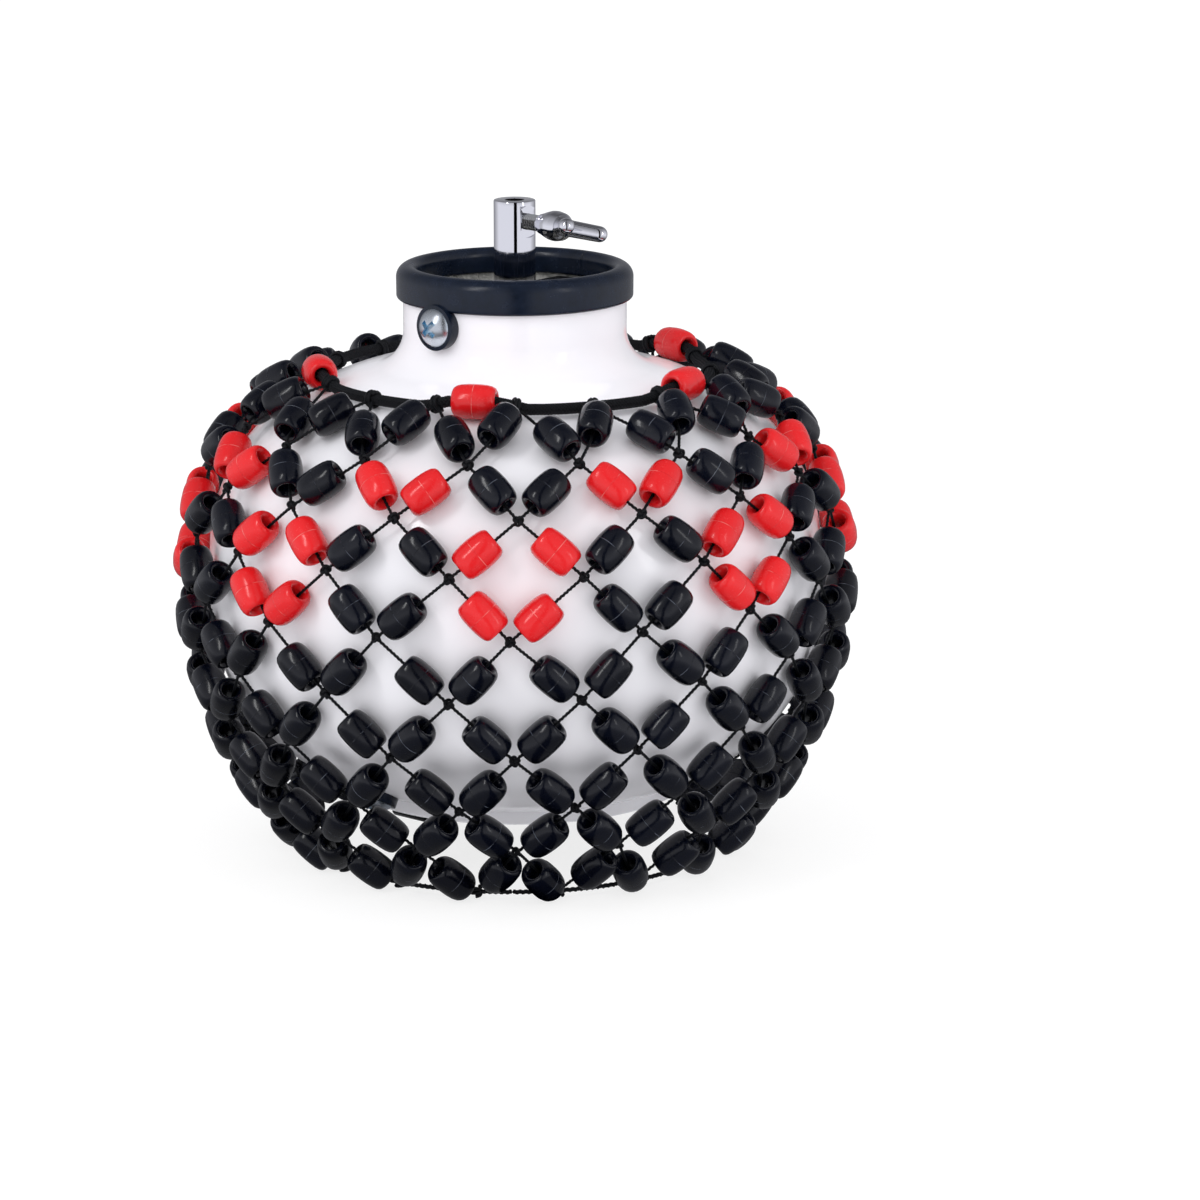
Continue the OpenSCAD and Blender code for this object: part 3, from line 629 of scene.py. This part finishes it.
def strung_tree():
    """Copies of a shape on points: its Z along each point's direction, rolled at random"""
    tree, given = new_tree("strung_shapes", {"Shape": "Object", "Roll": "Float",
                                             "Size spread": "Float", "Smooth levels": "Int",
                                             "Finish": "Material"})
    shape = add(tree, "GeometryNodeObjectInfo", {"Object": given["Shape"]})
    along = add(tree, "GeometryNodeInputNamedAttribute", {"Name": "along"},
                data_type="FLOAT_VECTOR")
    aimed = add(tree, "FunctionNodeAlignRotationToVector", {"Vector": along.outputs[0]}, axis="Z")
    roll = random_value(tree, 0.0, given["Roll"], ROLL_SEED)
    about = add(tree, "FunctionNodeAxisAngleToRotation", {"Axis": (0, 0, 1), "Angle": roll})
    turned = add(tree, "FunctionNodeRotateRotation",
                 {"Rotation": aimed.outputs[0], "Rotate By": about.outputs[0]},
                 rotation_space="LOCAL")
    least = calc(tree, "SUBTRACT", 1.0, given["Size spread"])
    copies = add(tree, "GeometryNodeInstanceOnPoints",
                 {"Points": given["Geometry"], "Instance": shape.outputs["Geometry"],
                  "Rotation": turned.outputs[0],
                  "Scale": random_value(tree, least, 1.0, SIZE_SEED)})
    toned = add(tree, "GeometryNodeStoreNamedAttribute",
                {"Geometry": copies.outputs[0], "Name": "tone",
                 "Value": random_value(tree, 0.0, 1.0, TONE_SEED)},
                data_type="FLOAT", domain="INSTANCE")
    real = add(tree, "GeometryNodeRealizeInstances", {"Geometry": toned.outputs[0]})
    rounded_off = add(tree, "GeometryNodeSubdivisionSurface",
                      {"Mesh": real.outputs[0], "Level": given["Smooth levels"]})
    return close_tree(tree, given, rounded_off.outputs[0])


def laid_tree():
    """Three-strand laid cord along each line of the seed, its lobes winding at a pitch"""
    tree, given = new_tree("laid_cord", {"Radius": "Float", "Hollow share": "Float",
                                         "Pitch": "Float", "Step": "Float",
                                         "Bend radius": "Float", "Finish": "Material"})
    line = add(tree, "GeometryNodeMeshToCurve", {"Mesh": given["Geometry"]})
    bent = add(tree, "GeometryNodeFilletCurve",
               {"Curve": line.outputs[0], "Radius": given["Bend radius"], "Count": BEND_STEPS,
                "Limit Radius": True}, mode="POLY")
    even = even_steps(tree, bent.outputs[0], given["Step"])
    way = add(tree, "GeometryNodeSplineParameter")
    turns = calc(tree, "DIVIDE", way.outputs["Length"], given["Pitch"])
    angle = calc(tree, "MULTIPLY", turns, 2 * math.pi)
    wound = add(tree, "GeometryNodeSetCurveTilt", {"Curve": even, "Tilt": angle})
    hollow = calc(tree, "MULTIPLY", given["Radius"], given["Hollow share"])
    lobes = add(tree, "GeometryNodeCurveStar", {"Points": LOBES, "Inner Radius": hollow,
                                                "Outer Radius": given["Radius"]})
    skin = add(tree, "GeometryNodeCurveToMesh",
               {"Curve": wound.outputs[0], "Profile Curve": lobes.outputs[0], "Fill Caps": True})
    return close_tree(tree, given, skin.outputs[0])


def round_skin(tree, curve, radius, sides):
    """A round tube along a curve"""
    profile = add(tree, "GeometryNodeCurvePrimitiveCircle", {"Resolution": sides,
                                                             "Radius": radius})
    return add(tree, "GeometryNodeCurveToMesh",
               {"Curve": curve, "Profile Curve": profile.outputs[0]}).outputs[0]


def braided_tree():
    """Plain braid on a closed line: yarns that wind both ways and pass over and under each
    other, on a round core"""
    tree, given = new_tree("braided_cord", {"Radius": "Float", "Wave": "Float",
                                            "Yarn radius": "Float", "Yarns each way": "Int",
                                            "Turns": "Int", "Step": "Float",
                                            "Finish": "Material"})
    line = add(tree, "GeometryNodeMeshToCurve", {"Mesh": given["Geometry"]})
    even = even_steps(tree, line.outputs[0], given["Step"])
    level = add(tree, "GeometryNodeSetCurveNormal", {"Curve": even}, mode="Z_UP")
    both = calc(tree, "MULTIPLY", given["Yarns each way"], 2.0)
    yarns = add(tree, "GeometryNodeDuplicateElements",
                {"Geometry": level.outputs[0], "Amount": both}, domain="SPLINE").outputs
    # Even copies wind one way and odd copies the other
    odd = calc(tree, "MODULO", yarns["Duplicate Index"], 2.0)
    way = calc(tree, "MULTIPLY_ADD", odd, -2.0, 1.0)
    pair = calc(tree, "FLOOR", calc(tree, "DIVIDE", yarns["Duplicate Index"], 2.0))
    share = calc(tree, "DIVIDE", pair, given["Yarns each way"])
    along = add(tree, "GeometryNodeSplineParameter")
    wound = calc(tree, "MULTIPLY", along.outputs["Factor"], given["Turns"])
    angle = calc(tree, "MULTIPLY", calc(tree, "MULTIPLY_ADD", wound, way, share), 2 * math.pi)
    beats = calc(tree, "MULTIPLY", wound, given["Yarns each way"])
    over = calc(tree, "COSINE", calc(tree, "MULTIPLY", beats, 2 * math.pi))
    lift = calc(tree, "MULTIPLY", over, way)
    reach = calc(tree, "MULTIPLY_ADD", lift, given["Wave"], given["Radius"])
    normal = add(tree, "GeometryNodeInputNormal").outputs[0]
    tangent = add(tree, "GeometryNodeInputTangent").outputs[0]
    across = vector(tree, "CROSS_PRODUCT", tangent, normal)
    out = vector(tree, "ADD", scaled(tree, normal, calc(tree, "COSINE", angle)),
                 scaled(tree, across, calc(tree, "SINE", angle)))
    placed = add(tree, "GeometryNodeSetPosition", {"Geometry": yarns["Geometry"],
                                                   "Offset": scaled(tree, out, reach)})
    skin = round_skin(tree, placed.outputs[0], given["Yarn radius"], YARN_SIDES)
    core = round_skin(tree, even, given["Radius"], CORE_SIDES)
    both_skins = add(tree, "GeometryNodeJoinGeometry")
    tree.links.new(core, both_skins.inputs[0])
    tree.links.new(skin, both_skins.inputs[0])
    return close_tree(tree, given, both_skins.outputs[0])


strung = strung_tree()
laid = laid_tree()
braided = braided_tree()


def settle(piece, body, slot, *replaced):
    """Puts a piece on its body and hides the CAD nodes that it stands for; its slot is not used"""
    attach(piece, body)
    if replaced:
        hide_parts(*replaced)
    return piece


# Beads: a barrel with near-flat ends and an open bore
BEAD_SIDES = 12
# Rings from the middle to the end, as shares of the radius and of the half length
BEAD_RINGS = ((1.0, 0.3), (0.925, 0.84), (0.66, 1.02))
BORE_END_SHARE = 0.965


def bead_shape():
    """One bead, coarse, for one level of subdivision, with its height as an attribute"""
    # Subdivision draws the sides in, so they start out wider
    swell = 1 / (0.75 + 0.25 * math.cos(2 * math.pi / BEAD_SIDES))
    side = [(r * BEAD_D / 2 * swell, z * BEAD_L / 2) for r, z in BEAD_RINGS]
    side.append((BEAD_BORE / 2 * swell, BORE_END_SHARE * BEAD_L / 2))
    outline = side[::-1] + [(r, -z) for r, z in side]
    mesh = revolved("bead_shape", outline, BEAD_SIDES, joined=True)
    height = mesh.attributes.new("height", "FLOAT", "POINT")
    height.data.foreach_set("value", [v.co.z / (BEAD_L / 2) for v in mesh.vertices])
    return linked("bead_shape", mesh)


def string_beads(shape, node, plastic, slot):
    """The beads of a node, each along its own cord"""
    found = [middle_and_axes(points) for points in solids_of(node)]
    seeds = seed_points(node, [middle for middle, axes in found],
                        [facing_up(axes[2]) for middle, axes in found])
    beads = grown(node + "_look", seeds, strung,
                  {"Shape": shape, "Roll": 2 * math.pi, "Size spread": 0.0, "Smooth levels": 1,
                   "Finish": plastic})
    settle(beads, "net", slot, node)


bead = bead_shape()
for name in sorted(nodes):
    if name == "neck_beads" or name.endswith("_red"):
        string_beads(bead, name, bead_red, "bead_red")
    elif name.startswith("beads_row"):
        string_beads(bead, name, bead_black, "bead_black")
bpy.data.objects.remove(bead)

# Net cord: strands that run on into their knots. In the CAD a bent strand has four rings of points,
# and the others are straight.
CORD_D = 1.3 * MM
LAID_SWELL = 1.06
LAY_PITCH = 5 * MM
TUCK = 1.6 * MM
RING_SIDES = 8
BENT_RINGS = 4


def strand_line(points):
    """The centre line of a strand's solid, from end to end, a little longer at both ends"""
    middle, axes = middle_and_axes(points)
    way = facing_up(axes[2])
    along = (points - middle) @ way
    if len(points) == BENT_RINGS * RING_SIDES:
        order = np.argsort(along, kind="stable")
        line = [points[order[i:i + RING_SIDES]].mean(0)
                for i in range(0, len(points), RING_SIDES)]
    else:
        line = [middle + way * along.min(), middle + way * along.max()]
    first = line[0] - line[1]
    last = line[-1] - line[-2]
    line[0] = line[0] + TUCK * first / np.linalg.norm(first)
    line[-1] = line[-1] + TUCK * last / np.linalg.norm(last)
    return line


for name in ("net_strands_row_1", "net_strands_upper", "net_strands_lower"):
    lines = [strand_line(points) for points in solids_of(name)]
    strands = grown(name + "_look", line_mesh(name, lines), laid,
                    {"Radius": CORD_D / 2 * LAID_SWELL, "Hollow share": 0.72, "Pitch": LAY_PITCH,
                     "Step": 0.7 * MM, "Bend radius": 2.5 * MM, "Finish": cord_black})
    settle(strands, "net", "net_cord", name)

# Knots: a cord drawn up into an overhand knot
WIDEST = -111 * MM
OUTWARD_FLATTENING = 0.9
KNOT_REACH = 2.9 * MM
KNOT_DEPTH = 1.45 * MM
KNOT_RISE = KNOT_DEPTH * 0.8
KNOT_CORD_R = 1.0 * MM
KNOT_RINGS = 26
KNOT_SIDES = 4
WRAP_RINGS = 30
WRAP_SIDES = 6


def tube_shape(name, places, radius, sides, closed=False):
    """A tube round a line of places"""
    count = len(places)
    verts = []
    up = Vector((0, 0, 1))
    for i, place in enumerate(places):
        ahead = places[(i + 1) % count] if closed or i < count - 1 else place
        back = places[i - 1] if closed or i else place
        along = (ahead - back).normalized()
        across = along.cross(up).normalized()
        raised = across.cross(along)
        for j in range(sides):
            turn = 2 * math.pi * j / sides
            verts.append(place + radius * (math.cos(turn) * across + math.sin(turn) * raised))
    faces = [(i * sides + j, i * sides + (j + 1) % sides,
              ((i + 1) % count) * sides + (j + 1) % sides, ((i + 1) % count) * sides + j)
             for i in range(count if closed else count - 1) for j in range(sides)]
    if not closed:
        faces += [tuple(range(sides))[::-1], tuple(range((count - 1) * sides, count * sides))]
    mesh = bpy.data.meshes.new(name)
    mesh.from_pydata(verts, [], faces)
    return linked(name, cleaned(mesh))


def knot_shape():
    """A trefoil tube, its axis along Z"""
    places = []
    for i in range(KNOT_RINGS):
        t = 2 * math.pi * i / KNOT_RINGS
        r = KNOT_REACH - KNOT_CORD_R - KNOT_DEPTH * (1 - math.cos(3 * t)) / 2
        places.append(Vector((r * math.cos(2 * t), r * math.sin(2 * t),
                              KNOT_RISE * math.sin(3 * t))))
    return tube_shape("knot_shape", places, KNOT_CORD_R, KNOT_SIDES, closed=True)


def outward_at(place):
    """Outward direction of the net at a place, from the middle of the shell's widest level"""
    return Vector((place[0], place[1], (place[2] - WIDEST) * OUTWARD_FLATTENING)).normalized()


knot = knot_shape()
places = [middle_and_axes(points)[0] for points in solids_of("net_knots")]
knots = grown("net_knots_look", seed_points("knots", places, [outward_at(p) for p in places]),
              strung, {"Shape": knot, "Roll": 2 * math.pi, "Size spread": 0.1,
                       "Smooth levels": 1, "Finish": cord_black})
settle(knots, "net", "net_cord", "net_knots")
bpy.data.objects.remove(knot)


# Hitches and loops: the net's cord wound round the neck cord and round the foot cord
def wrap_shape(inner, thick, turns):
    """A short winding of cord round the Z axis"""
    places = []
    for i in range(WRAP_RINGS):
        t = i / (WRAP_RINGS - 1)
        turn = 2 * math.pi * turns * t
        reach = inner + thick / 2
        places.append(Vector((reach * math.cos(turn), reach * math.sin(turn),
                              (t - 0.5) * turns * thick)))
    return tube_shape("wrap_shape", places, thick / 2, WRAP_SIDES)


for name, inner, turns in (("net_hitches", 2.1 * MM, 2.2), ("net_foot_loops", 1.1 * MM, 2.4)):
    wrap = wrap_shape(inner, CORD_D, turns)
    found = [middle_and_axes(points) for points in solids_of(name)]
    # A hitch is shorter than it is wide, and a loop too, so the shortest axis runs along the cord
    seeds = seed_points(name, [middle for middle, axes in found],
                        [axes[0] for middle, axes in found])
    wraps = grown(name + "_look", seeds, strung,
                  {"Shape": wrap, "Roll": 2 * math.pi, "Size spread": 0.0, "Smooth levels": 0,
                   "Finish": cord_black})
    settle(wraps, "net", "net_cord", name)
    bpy.data.objects.remove(wrap)

# Neck cord and foot cord
NECK_CORD_RINGS = 80
FOOT_STEPS = 180


def ring_places(node, count):
    """Centres of the rings of a closed tube round the axis, in order of bearing"""
    points = np.concatenate(solids_of(node))
    bearings = np.degrees(np.arctan2(points[:, 0], -points[:, 1]))
    index = np.round(bearings / (360 / count)).astype(int) % count
    return [points[index == i].mean(0) for i in range(count)]


neck_line = line_mesh("neck_cord", [ring_places("neck_cord", NECK_CORD_RINGS)], closed=True)
neck_cord = grown("neck_cord_look", neck_line, braided,
                  {"Radius": 1.62 * MM, "Wave": 0.16 * MM, "Yarn radius": 0.4 * MM,
                   "Yarns each way": 8, "Turns": 46, "Step": 0.36 * MM, "Finish": cord_black})
settle(neck_cord, "net", "net_cord", "neck_cord")

low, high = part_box("foot_cord")
foot_cord_d = high.z - low.z
foot_r = (high.x - low.x - foot_cord_d) / 2
foot_z = (high.z + low.z) / 2
foot_turns = [2 * math.pi * i / FOOT_STEPS for i in range(FOOT_STEPS)]
foot_ring = [(foot_r * math.sin(t), -foot_r * math.cos(t), foot_z) for t in foot_turns]
foot_cord = grown("foot_cord_look", line_mesh("foot_cord", [foot_ring], closed=True), laid,
                  {"Radius": foot_cord_d / 2, "Hollow share": 0.74, "Pitch": 6.5 * MM,
                   "Step": 0.8 * MM, "Bend radius": 0.0, "Finish": cord_black})
settle(foot_cord, "foot_cord", "net_cord", "foot_cord")

# Shell: turned from the same outline as the CAD's, as one smooth skin
SHELL_R = 115 * MM
BODY_RISE = 84 * MM
BODY_SQUARE = 2.5
WALL = 3 * MM
NECK_R = 41.5 * MM
NECK_FILLET = 14 * MM
LIP_R = 65 * MM
LIP_SOFT = 0.9 * MM
LIP_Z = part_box("shell")[0].z
NECK_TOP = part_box("shell")[1].z
SHELL_SIDES = 192
BODY_STEPS = 70
FILLET_STEPS = 18
HALVINGS = 40
SAME_DIGITS = 7


def body_point(angle, inset):
    """Point of the body's curve at an angle from its crown, as (radius, height)"""
    across = abs(math.sin(angle)) ** (2 / BODY_SQUARE)
    up = abs(math.cos(angle)) ** (2 / BODY_SQUARE) * math.copysign(1, math.cos(angle))
    return (SHELL_R - inset) * across, (BODY_RISE - inset) * up + WIDEST


def body_angle(radius, inset):
    """Angle from the crown at which the body's upper side has a radius"""
    return math.asin((radius / (SHELL_R - inset)) ** (BODY_SQUARE / 2))


def body_slope(radius):
    """Outward direction and height of the body's upper side at a radius, as (across, up,
    height)"""
    height = BODY_RISE * (1 - (radius / SHELL_R) ** BODY_SQUARE) ** (1 / BODY_SQUARE)
    across = (radius / SHELL_R) ** (BODY_SQUARE - 1) / SHELL_R
    up = (height / BODY_RISE) ** (BODY_SQUARE - 1) / BODY_RISE
    size = math.hypot(across, up)
    return across / size, up / size, height + WIDEST


def touching_radius():
    """Radius at which the hollow curve under the neck meets the body"""
    low, high = NECK_R, SHELL_R * 0.8
    for _ in range(HALVINGS):
        middle = (low + high) / 2
        if middle + NECK_FILLET * body_slope(middle)[0] > NECK_R + NECK_FILLET:
            high = middle
        else:
            low = middle
    return low


def shell_side(inset):
    """One face of the shell from its neck's edge down to its lip"""
    touch = touching_radius()
    across, up, level = body_slope(touch)
    centre = (NECK_R + NECK_FILLET, level + NECK_FILLET * up)
    sweep = math.atan2(up, across)
    start = body_angle(touch - inset * across, inset)
    end = math.pi - body_angle(LIP_R - inset, inset)
    line = []
    for i in range(FILLET_STEPS):
        angle = sweep * i / FILLET_STEPS
        line.append((centre[0] - (NECK_FILLET + inset) * math.cos(angle),
                     centre[1] - (NECK_FILLET + inset) * math.sin(angle)))
    for i in range(BODY_STEPS + 1):
        line.append(body_point(start + (end - start) * i / BODY_STEPS, inset))
    return line


def make_shell():
    """The shell as one closed skin: white outside and over the lip, raw laminate inside"""
    lip_in = LIP_R - WALL
    near = 0.3 * LIP_SOFT
    outline = [(NECK_R, NECK_TOP)] + shell_side(0)
    outline += [(LIP_R, LIP_Z + LIP_SOFT), (LIP_R - near, LIP_Z + near), (LIP_R - LIP_SOFT, LIP_Z),
                (lip_in + LIP_SOFT, LIP_Z)]
    inside = [(lip_in + near, LIP_Z + near), (lip_in, LIP_Z + LIP_SOFT)]
    inside += shell_side(WALL)[::-1] + [(NECK_R - WALL, NECK_TOP)]
    mesh = revolved("shell_look", outline + inside, SHELL_SIDES, joined=True)
    mesh.materials.append(gelcoat)
    mesh.materials.append(laminate)
    # A face is inside when three of its points are on the inner part of the outline
    inner = {(round(r, SAME_DIGITS), round(z, SAME_DIGITS)) for r, z in inside}
    for face in mesh.polygons:
        places = [mesh.vertices[index].co for index in face.vertices]
        marks = sum((round(math.hypot(p.x, p.y), SAME_DIGITS), round(p.z, SAME_DIGITS)) in inner
                    for p in places)
        if marks >= 3:
            face.material_index = 1
    mesh.set_sharp_from_angle(angle=math.radians(50))
    return linked("shell_look", mesh)


settle(make_shell(), "shell", "shell_gelcoat", "shell")

# Rim trim
TRIM_SIDES = 160
TRIM_CROWN = 4.6 * MM
TRIM_SKIRT = 2.9 * MM
TRIM_LEG = 1.2 * MM
TRIM_INNER_CROWN = 3.4 * MM
SKIRT_DRAW_IN = 0.05 * MM
SKIRT_EDGE = 0.6 * MM
LEG_EDGE = 0.5 * MM
INNER_LEG_SHORT = 3 * MM


def rounded(middle, radius, start, end, steps=6):
    """Points of an arc in a turned outline, its angles in degrees from the outward direction"""
    turns = [math.radians(start + (end - start) * i / steps) for i in range(steps + 1)]
    return [(middle[0] + radius * math.cos(t), middle[1] + radius * math.sin(t)) for t in turns]


def make_trim():
    """Rubber channel over the neck's edge: a full round crown, and an outer leg that draws in"""
    low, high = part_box("rim_trim")
    outer = high.x
    inner = min(math.hypot(v.co.x, v.co.y) for v in nodes["rim_trim"].data.vertices)
    inner_foot = low.z + INNER_LEG_SHORT
    skirt = min(TRIM_SKIRT, outer - NECK_R - TRIM_LEG)
    outline = rounded((outer - TRIM_CROWN, high.z - TRIM_CROWN), TRIM_CROWN, 90, 0, 10)
    outline += rounded((outer - skirt - SKIRT_DRAW_IN, low.z + skirt), skirt, 0, -100, 8)
    outline += [(NECK_R, low.z + SKIRT_EDGE), (NECK_R, NECK_TOP), (NECK_R - WALL, NECK_TOP),
                (NECK_R - WALL, inner_foot + LEG_EDGE)]
    outline += rounded((inner + TRIM_LEG, inner_foot + TRIM_LEG), TRIM_LEG, -90, -180, 5)
    outline += rounded((inner + TRIM_INNER_CROWN, high.z - TRIM_INNER_CROWN), TRIM_INNER_CROWN,
                       180, 90, 10)
    mesh = revolved("rim_trim_look", outline, TRIM_SIDES, joined=True)
    mesh.set_sharp_from_angle(angle=math.radians(60))
    mesh.materials.append(rubber)
    return linked("rim_trim_look", mesh)


settle(make_trim(), "shell", "trim_rubber", "rim_trim")

# Hardware: the CAD's own shapes with their edges rounded
FLAT_ANGLE = 0.6
EDGE_ANGLE = 38


def dressed(node, width, mat, slot, segments=2):
    """A copy of a CAD node on the shell, with its sharp edges rounded to a width"""
    mesh = nodes[node].data.copy()
    mesh.materials.clear()
    work = bmesh.new()
    work.from_mesh(mesh)
    bmesh.ops.remove_doubles(work, verts=work.verts, dist=CAD_SAME_PLACE)
    bmesh.ops.dissolve_limit(work, angle_limit=math.radians(FLAT_ANGLE), verts=work.verts,
                             edges=work.edges)
    work.to_mesh(mesh)
    work.free()
    mesh.shade_smooth()
    seed = linked(node + "_seed", mesh)
    bevel = seed.modifiers.new("bevel", "BEVEL")
    bevel.width = width
    bevel.segments = segments
    bevel.limit_method = "ANGLE"
    bevel.angle_limit = math.radians(EDGE_ANGLE)
    bevel.use_clamp_overlap = True
    result = applied(seed, node + "_look")
    smooth_to(result, EDGE_ANGLE)
    result.materials.append(mat)
    settle(linked(node + "_look", result), "shell", slot, node)


dressed("upper_crossbar", 0.35 * MM, paint, "bar_paint")
dressed("lower_crossbar", 0.35 * MM, paint, "bar_paint")
dressed("collar_nut", 0.3 * MM, zinc, "zinc_steel")
dressed("guide_bush", 0.25 * MM, nylon, "bush_nylon")
dressed("neck_screws", 0.18 * MM, screw_zinc, "chrome")
dressed("foot_screws", 0.18 * MM, screw_zinc, "chrome")
dressed("neck_washers", 0.7 * MM, rubber, "trim_rubber", segments=3)
dressed("foot_washers", 0.7 * MM, rubber, "trim_rubber", segments=3)
dressed("neck_nuts", 0.25 * MM, zinc, "zinc_steel")
dressed("foot_nuts", 0.25 * MM, zinc, "zinc_steel")

# Rod collar
ROD_BORE = 7.2 * MM
BAR_TOP = -3.55 * MM
SPIGOT_R = 5 * MM
COLLAR_EASE = 0.45 * MM
COLLAR_SIDES = 128
COLLAR_STEPS = 20
CUTTER_SIDES = 64
BOLT_AXIS = Vector(frame["joints"][0]["axis"]).normalized()
BOLT_LEVEL = 22.5 * MM
BOLT_HOLE_R = 3.05 * MM
SPOT_R = 6 * MM
SPOT_DEPTH = 0.8 * MM


def turned_to(direction, origin):
    """The matrix that takes +Z to a direction and moves it to a place"""
    return Matrix.Translation(origin) @ direction.to_track_quat("Z", "Y").to_matrix().to_4x4()


def make_collar():
    """Turned sleeve with eased edges, a spot face and a cross hole, bored right through"""
    low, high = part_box("rod_collar")
    radius = high.x
    bore = ROD_BORE / 2
    side = high.z - COLLAR_EASE - BAR_TOP
    outline = [(bore, low.z), (SPIGOT_R, low.z), (SPIGOT_R, BAR_TOP)]
    outline += [(radius, BAR_TOP + side * i / COLLAR_STEPS) for i in range(COLLAR_STEPS + 1)]
    outline += [(radius - 0.3 * COLLAR_EASE, high.z - 0.3 * COLLAR_EASE),
                (radius - COLLAR_EASE, high.z), (bore + 0.5 * COLLAR_EASE, high.z),
                (bore, high.z - 0.5 * COLLAR_EASE)]
    body = linked("rod_collar_look", revolved("rod_collar_look", outline, COLLAR_SIDES,
                                              joined=True))
    cutters = []
    for reach, start in ((BOLT_HOLE_R, 0.0), (SPOT_R, radius - SPOT_DEPTH)):
        mesh = revolved("cutter", [(0, start), (reach, start), (reach, 2 * radius),
                                   (0, 2 * radius)], CUTTER_SIDES)
        mesh.transform(turned_to(BOLT_AXIS, Vector((0, 0, BOLT_LEVEL))))
        cutters.append(linked("cutter", cleaned(mesh)))
        cut = body.modifiers.new("cut", "BOOLEAN")
        cut.operation = "DIFFERENCE"
        cut.solver = "EXACT"
        cut.object = cutters[-1]
    result = applied(body, "rod_collar_look", *cutters)
    result.materials.clear()
    smooth_to(result, 28)
    result.materials.append(chrome)
    return linked("rod_collar_look", result)


settle(make_collar(), "shell", "chrome", "rod_collar")

# Wing bolt: a rolled thread, and wings cast in one with their hub
THREAD_PITCH = 1 * MM
THREAD_DEPTH = 0.55 * THREAD_PITCH
THREAD_SIDES = 28
RINGS_PER_TURN = 4
CAST_GRAIN = 0.3 * MM


def make_stud():
    """The stud with its thread cut as one helix"""
    points = np.concatenate(solids_of("bolt_stud"))
    along = points @ np.array(BOLT_AXIS)
    start, end = along.min(), along.max()
    low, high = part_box("bolt_stud")
    level = (low.z + high.z) / 2
    radius = (high.z - low.z) / 2
    length = end - start
    rings = int(length / THREAD_PITCH) * RINGS_PER_TURN + 1
    verts = []
    for i in range(rings + 1):
        wave = (i % RINGS_PER_TURN) / RINGS_PER_TURN
        reach = radius - THREAD_DEPTH * (1 - abs(2 * wave - 1))
        for j in range(THREAD_SIDES):
            share = j / THREAD_SIDES
            height = (i / RINGS_PER_TURN + share - 0.5) * THREAD_PITCH
            turn = 2 * math.pi * share
            verts.append((reach * math.cos(turn), reach * math.sin(turn),
                          min(max(height, 0), length)))
    faces = []
    for i in range(rings):
        for j in range(THREAD_SIDES):
            # The last column joins the ring one turn on
            k = (j + 1) % THREAD_SIDES
            far = i + RINGS_PER_TURN if k == 0 else i
            if far < rings:
                faces.append((i * THREAD_SIDES + j, far * THREAD_SIDES + k,
                              (far + 1) * THREAD_SIDES + k, (i + 1) * THREAD_SIDES + j))
    mesh = bpy.data.meshes.new("bolt_stud_look")
    mesh.from_pydata(verts, [], faces)
    root = mesh.attributes.new("root", "FLOAT", "POINT")
    root.data.foreach_set("value", [(radius - math.hypot(x, y)) / THREAD_DEPTH
                                    for x, y, z in verts])
    work = bmesh.new()
    work.from_mesh(mesh)
    bmesh.ops.remove_doubles(work, verts=work.verts, dist=SAME_PLACE)
    bmesh.ops.dissolve_degenerate(work, edges=work.edges, dist=1e-7)
    bmesh.ops.holes_fill(work, edges=[e for e in work.edges if e.is_boundary], sides=0)
    bmesh.ops.recalc_face_normals(work, faces=work.faces)
    work.to_mesh(mesh)
    work.free()
    mesh.transform(turned_to(BOLT_AXIS, BOLT_AXIS * start + Vector((0, 0, level))))
    smooth_to(mesh, 50)
    mesh.materials.append(thread_chrome)
    return linked("bolt_stud_look", mesh)


def make_wings():
    """The hub and its wings run together, as cast"""
    mesh = nodes["bolt_wings"].data.copy()
    mesh.materials.clear()
    seed = linked("wings_seed", cleaned(mesh, CAD_SAME_PLACE))
    remesh = seed.modifiers.new("cast", "REMESH")
    remesh.mode = "VOXEL"
    remesh.voxel_size = CAST_GRAIN
    smooth = seed.modifiers.new("flow", "SMOOTH")
    smooth.factor = 0.7
    smooth.iterations = 9
    result = applied(seed, "bolt_wings_look")
    result.shade_smooth()
    result.materials.append(chrome)
    return linked("bolt_wings_look", result)


settle(make_stud(), "stud", "chrome", "bolt_stud")
settle(make_wings(), "wings", "chrome", "bolt_wings")
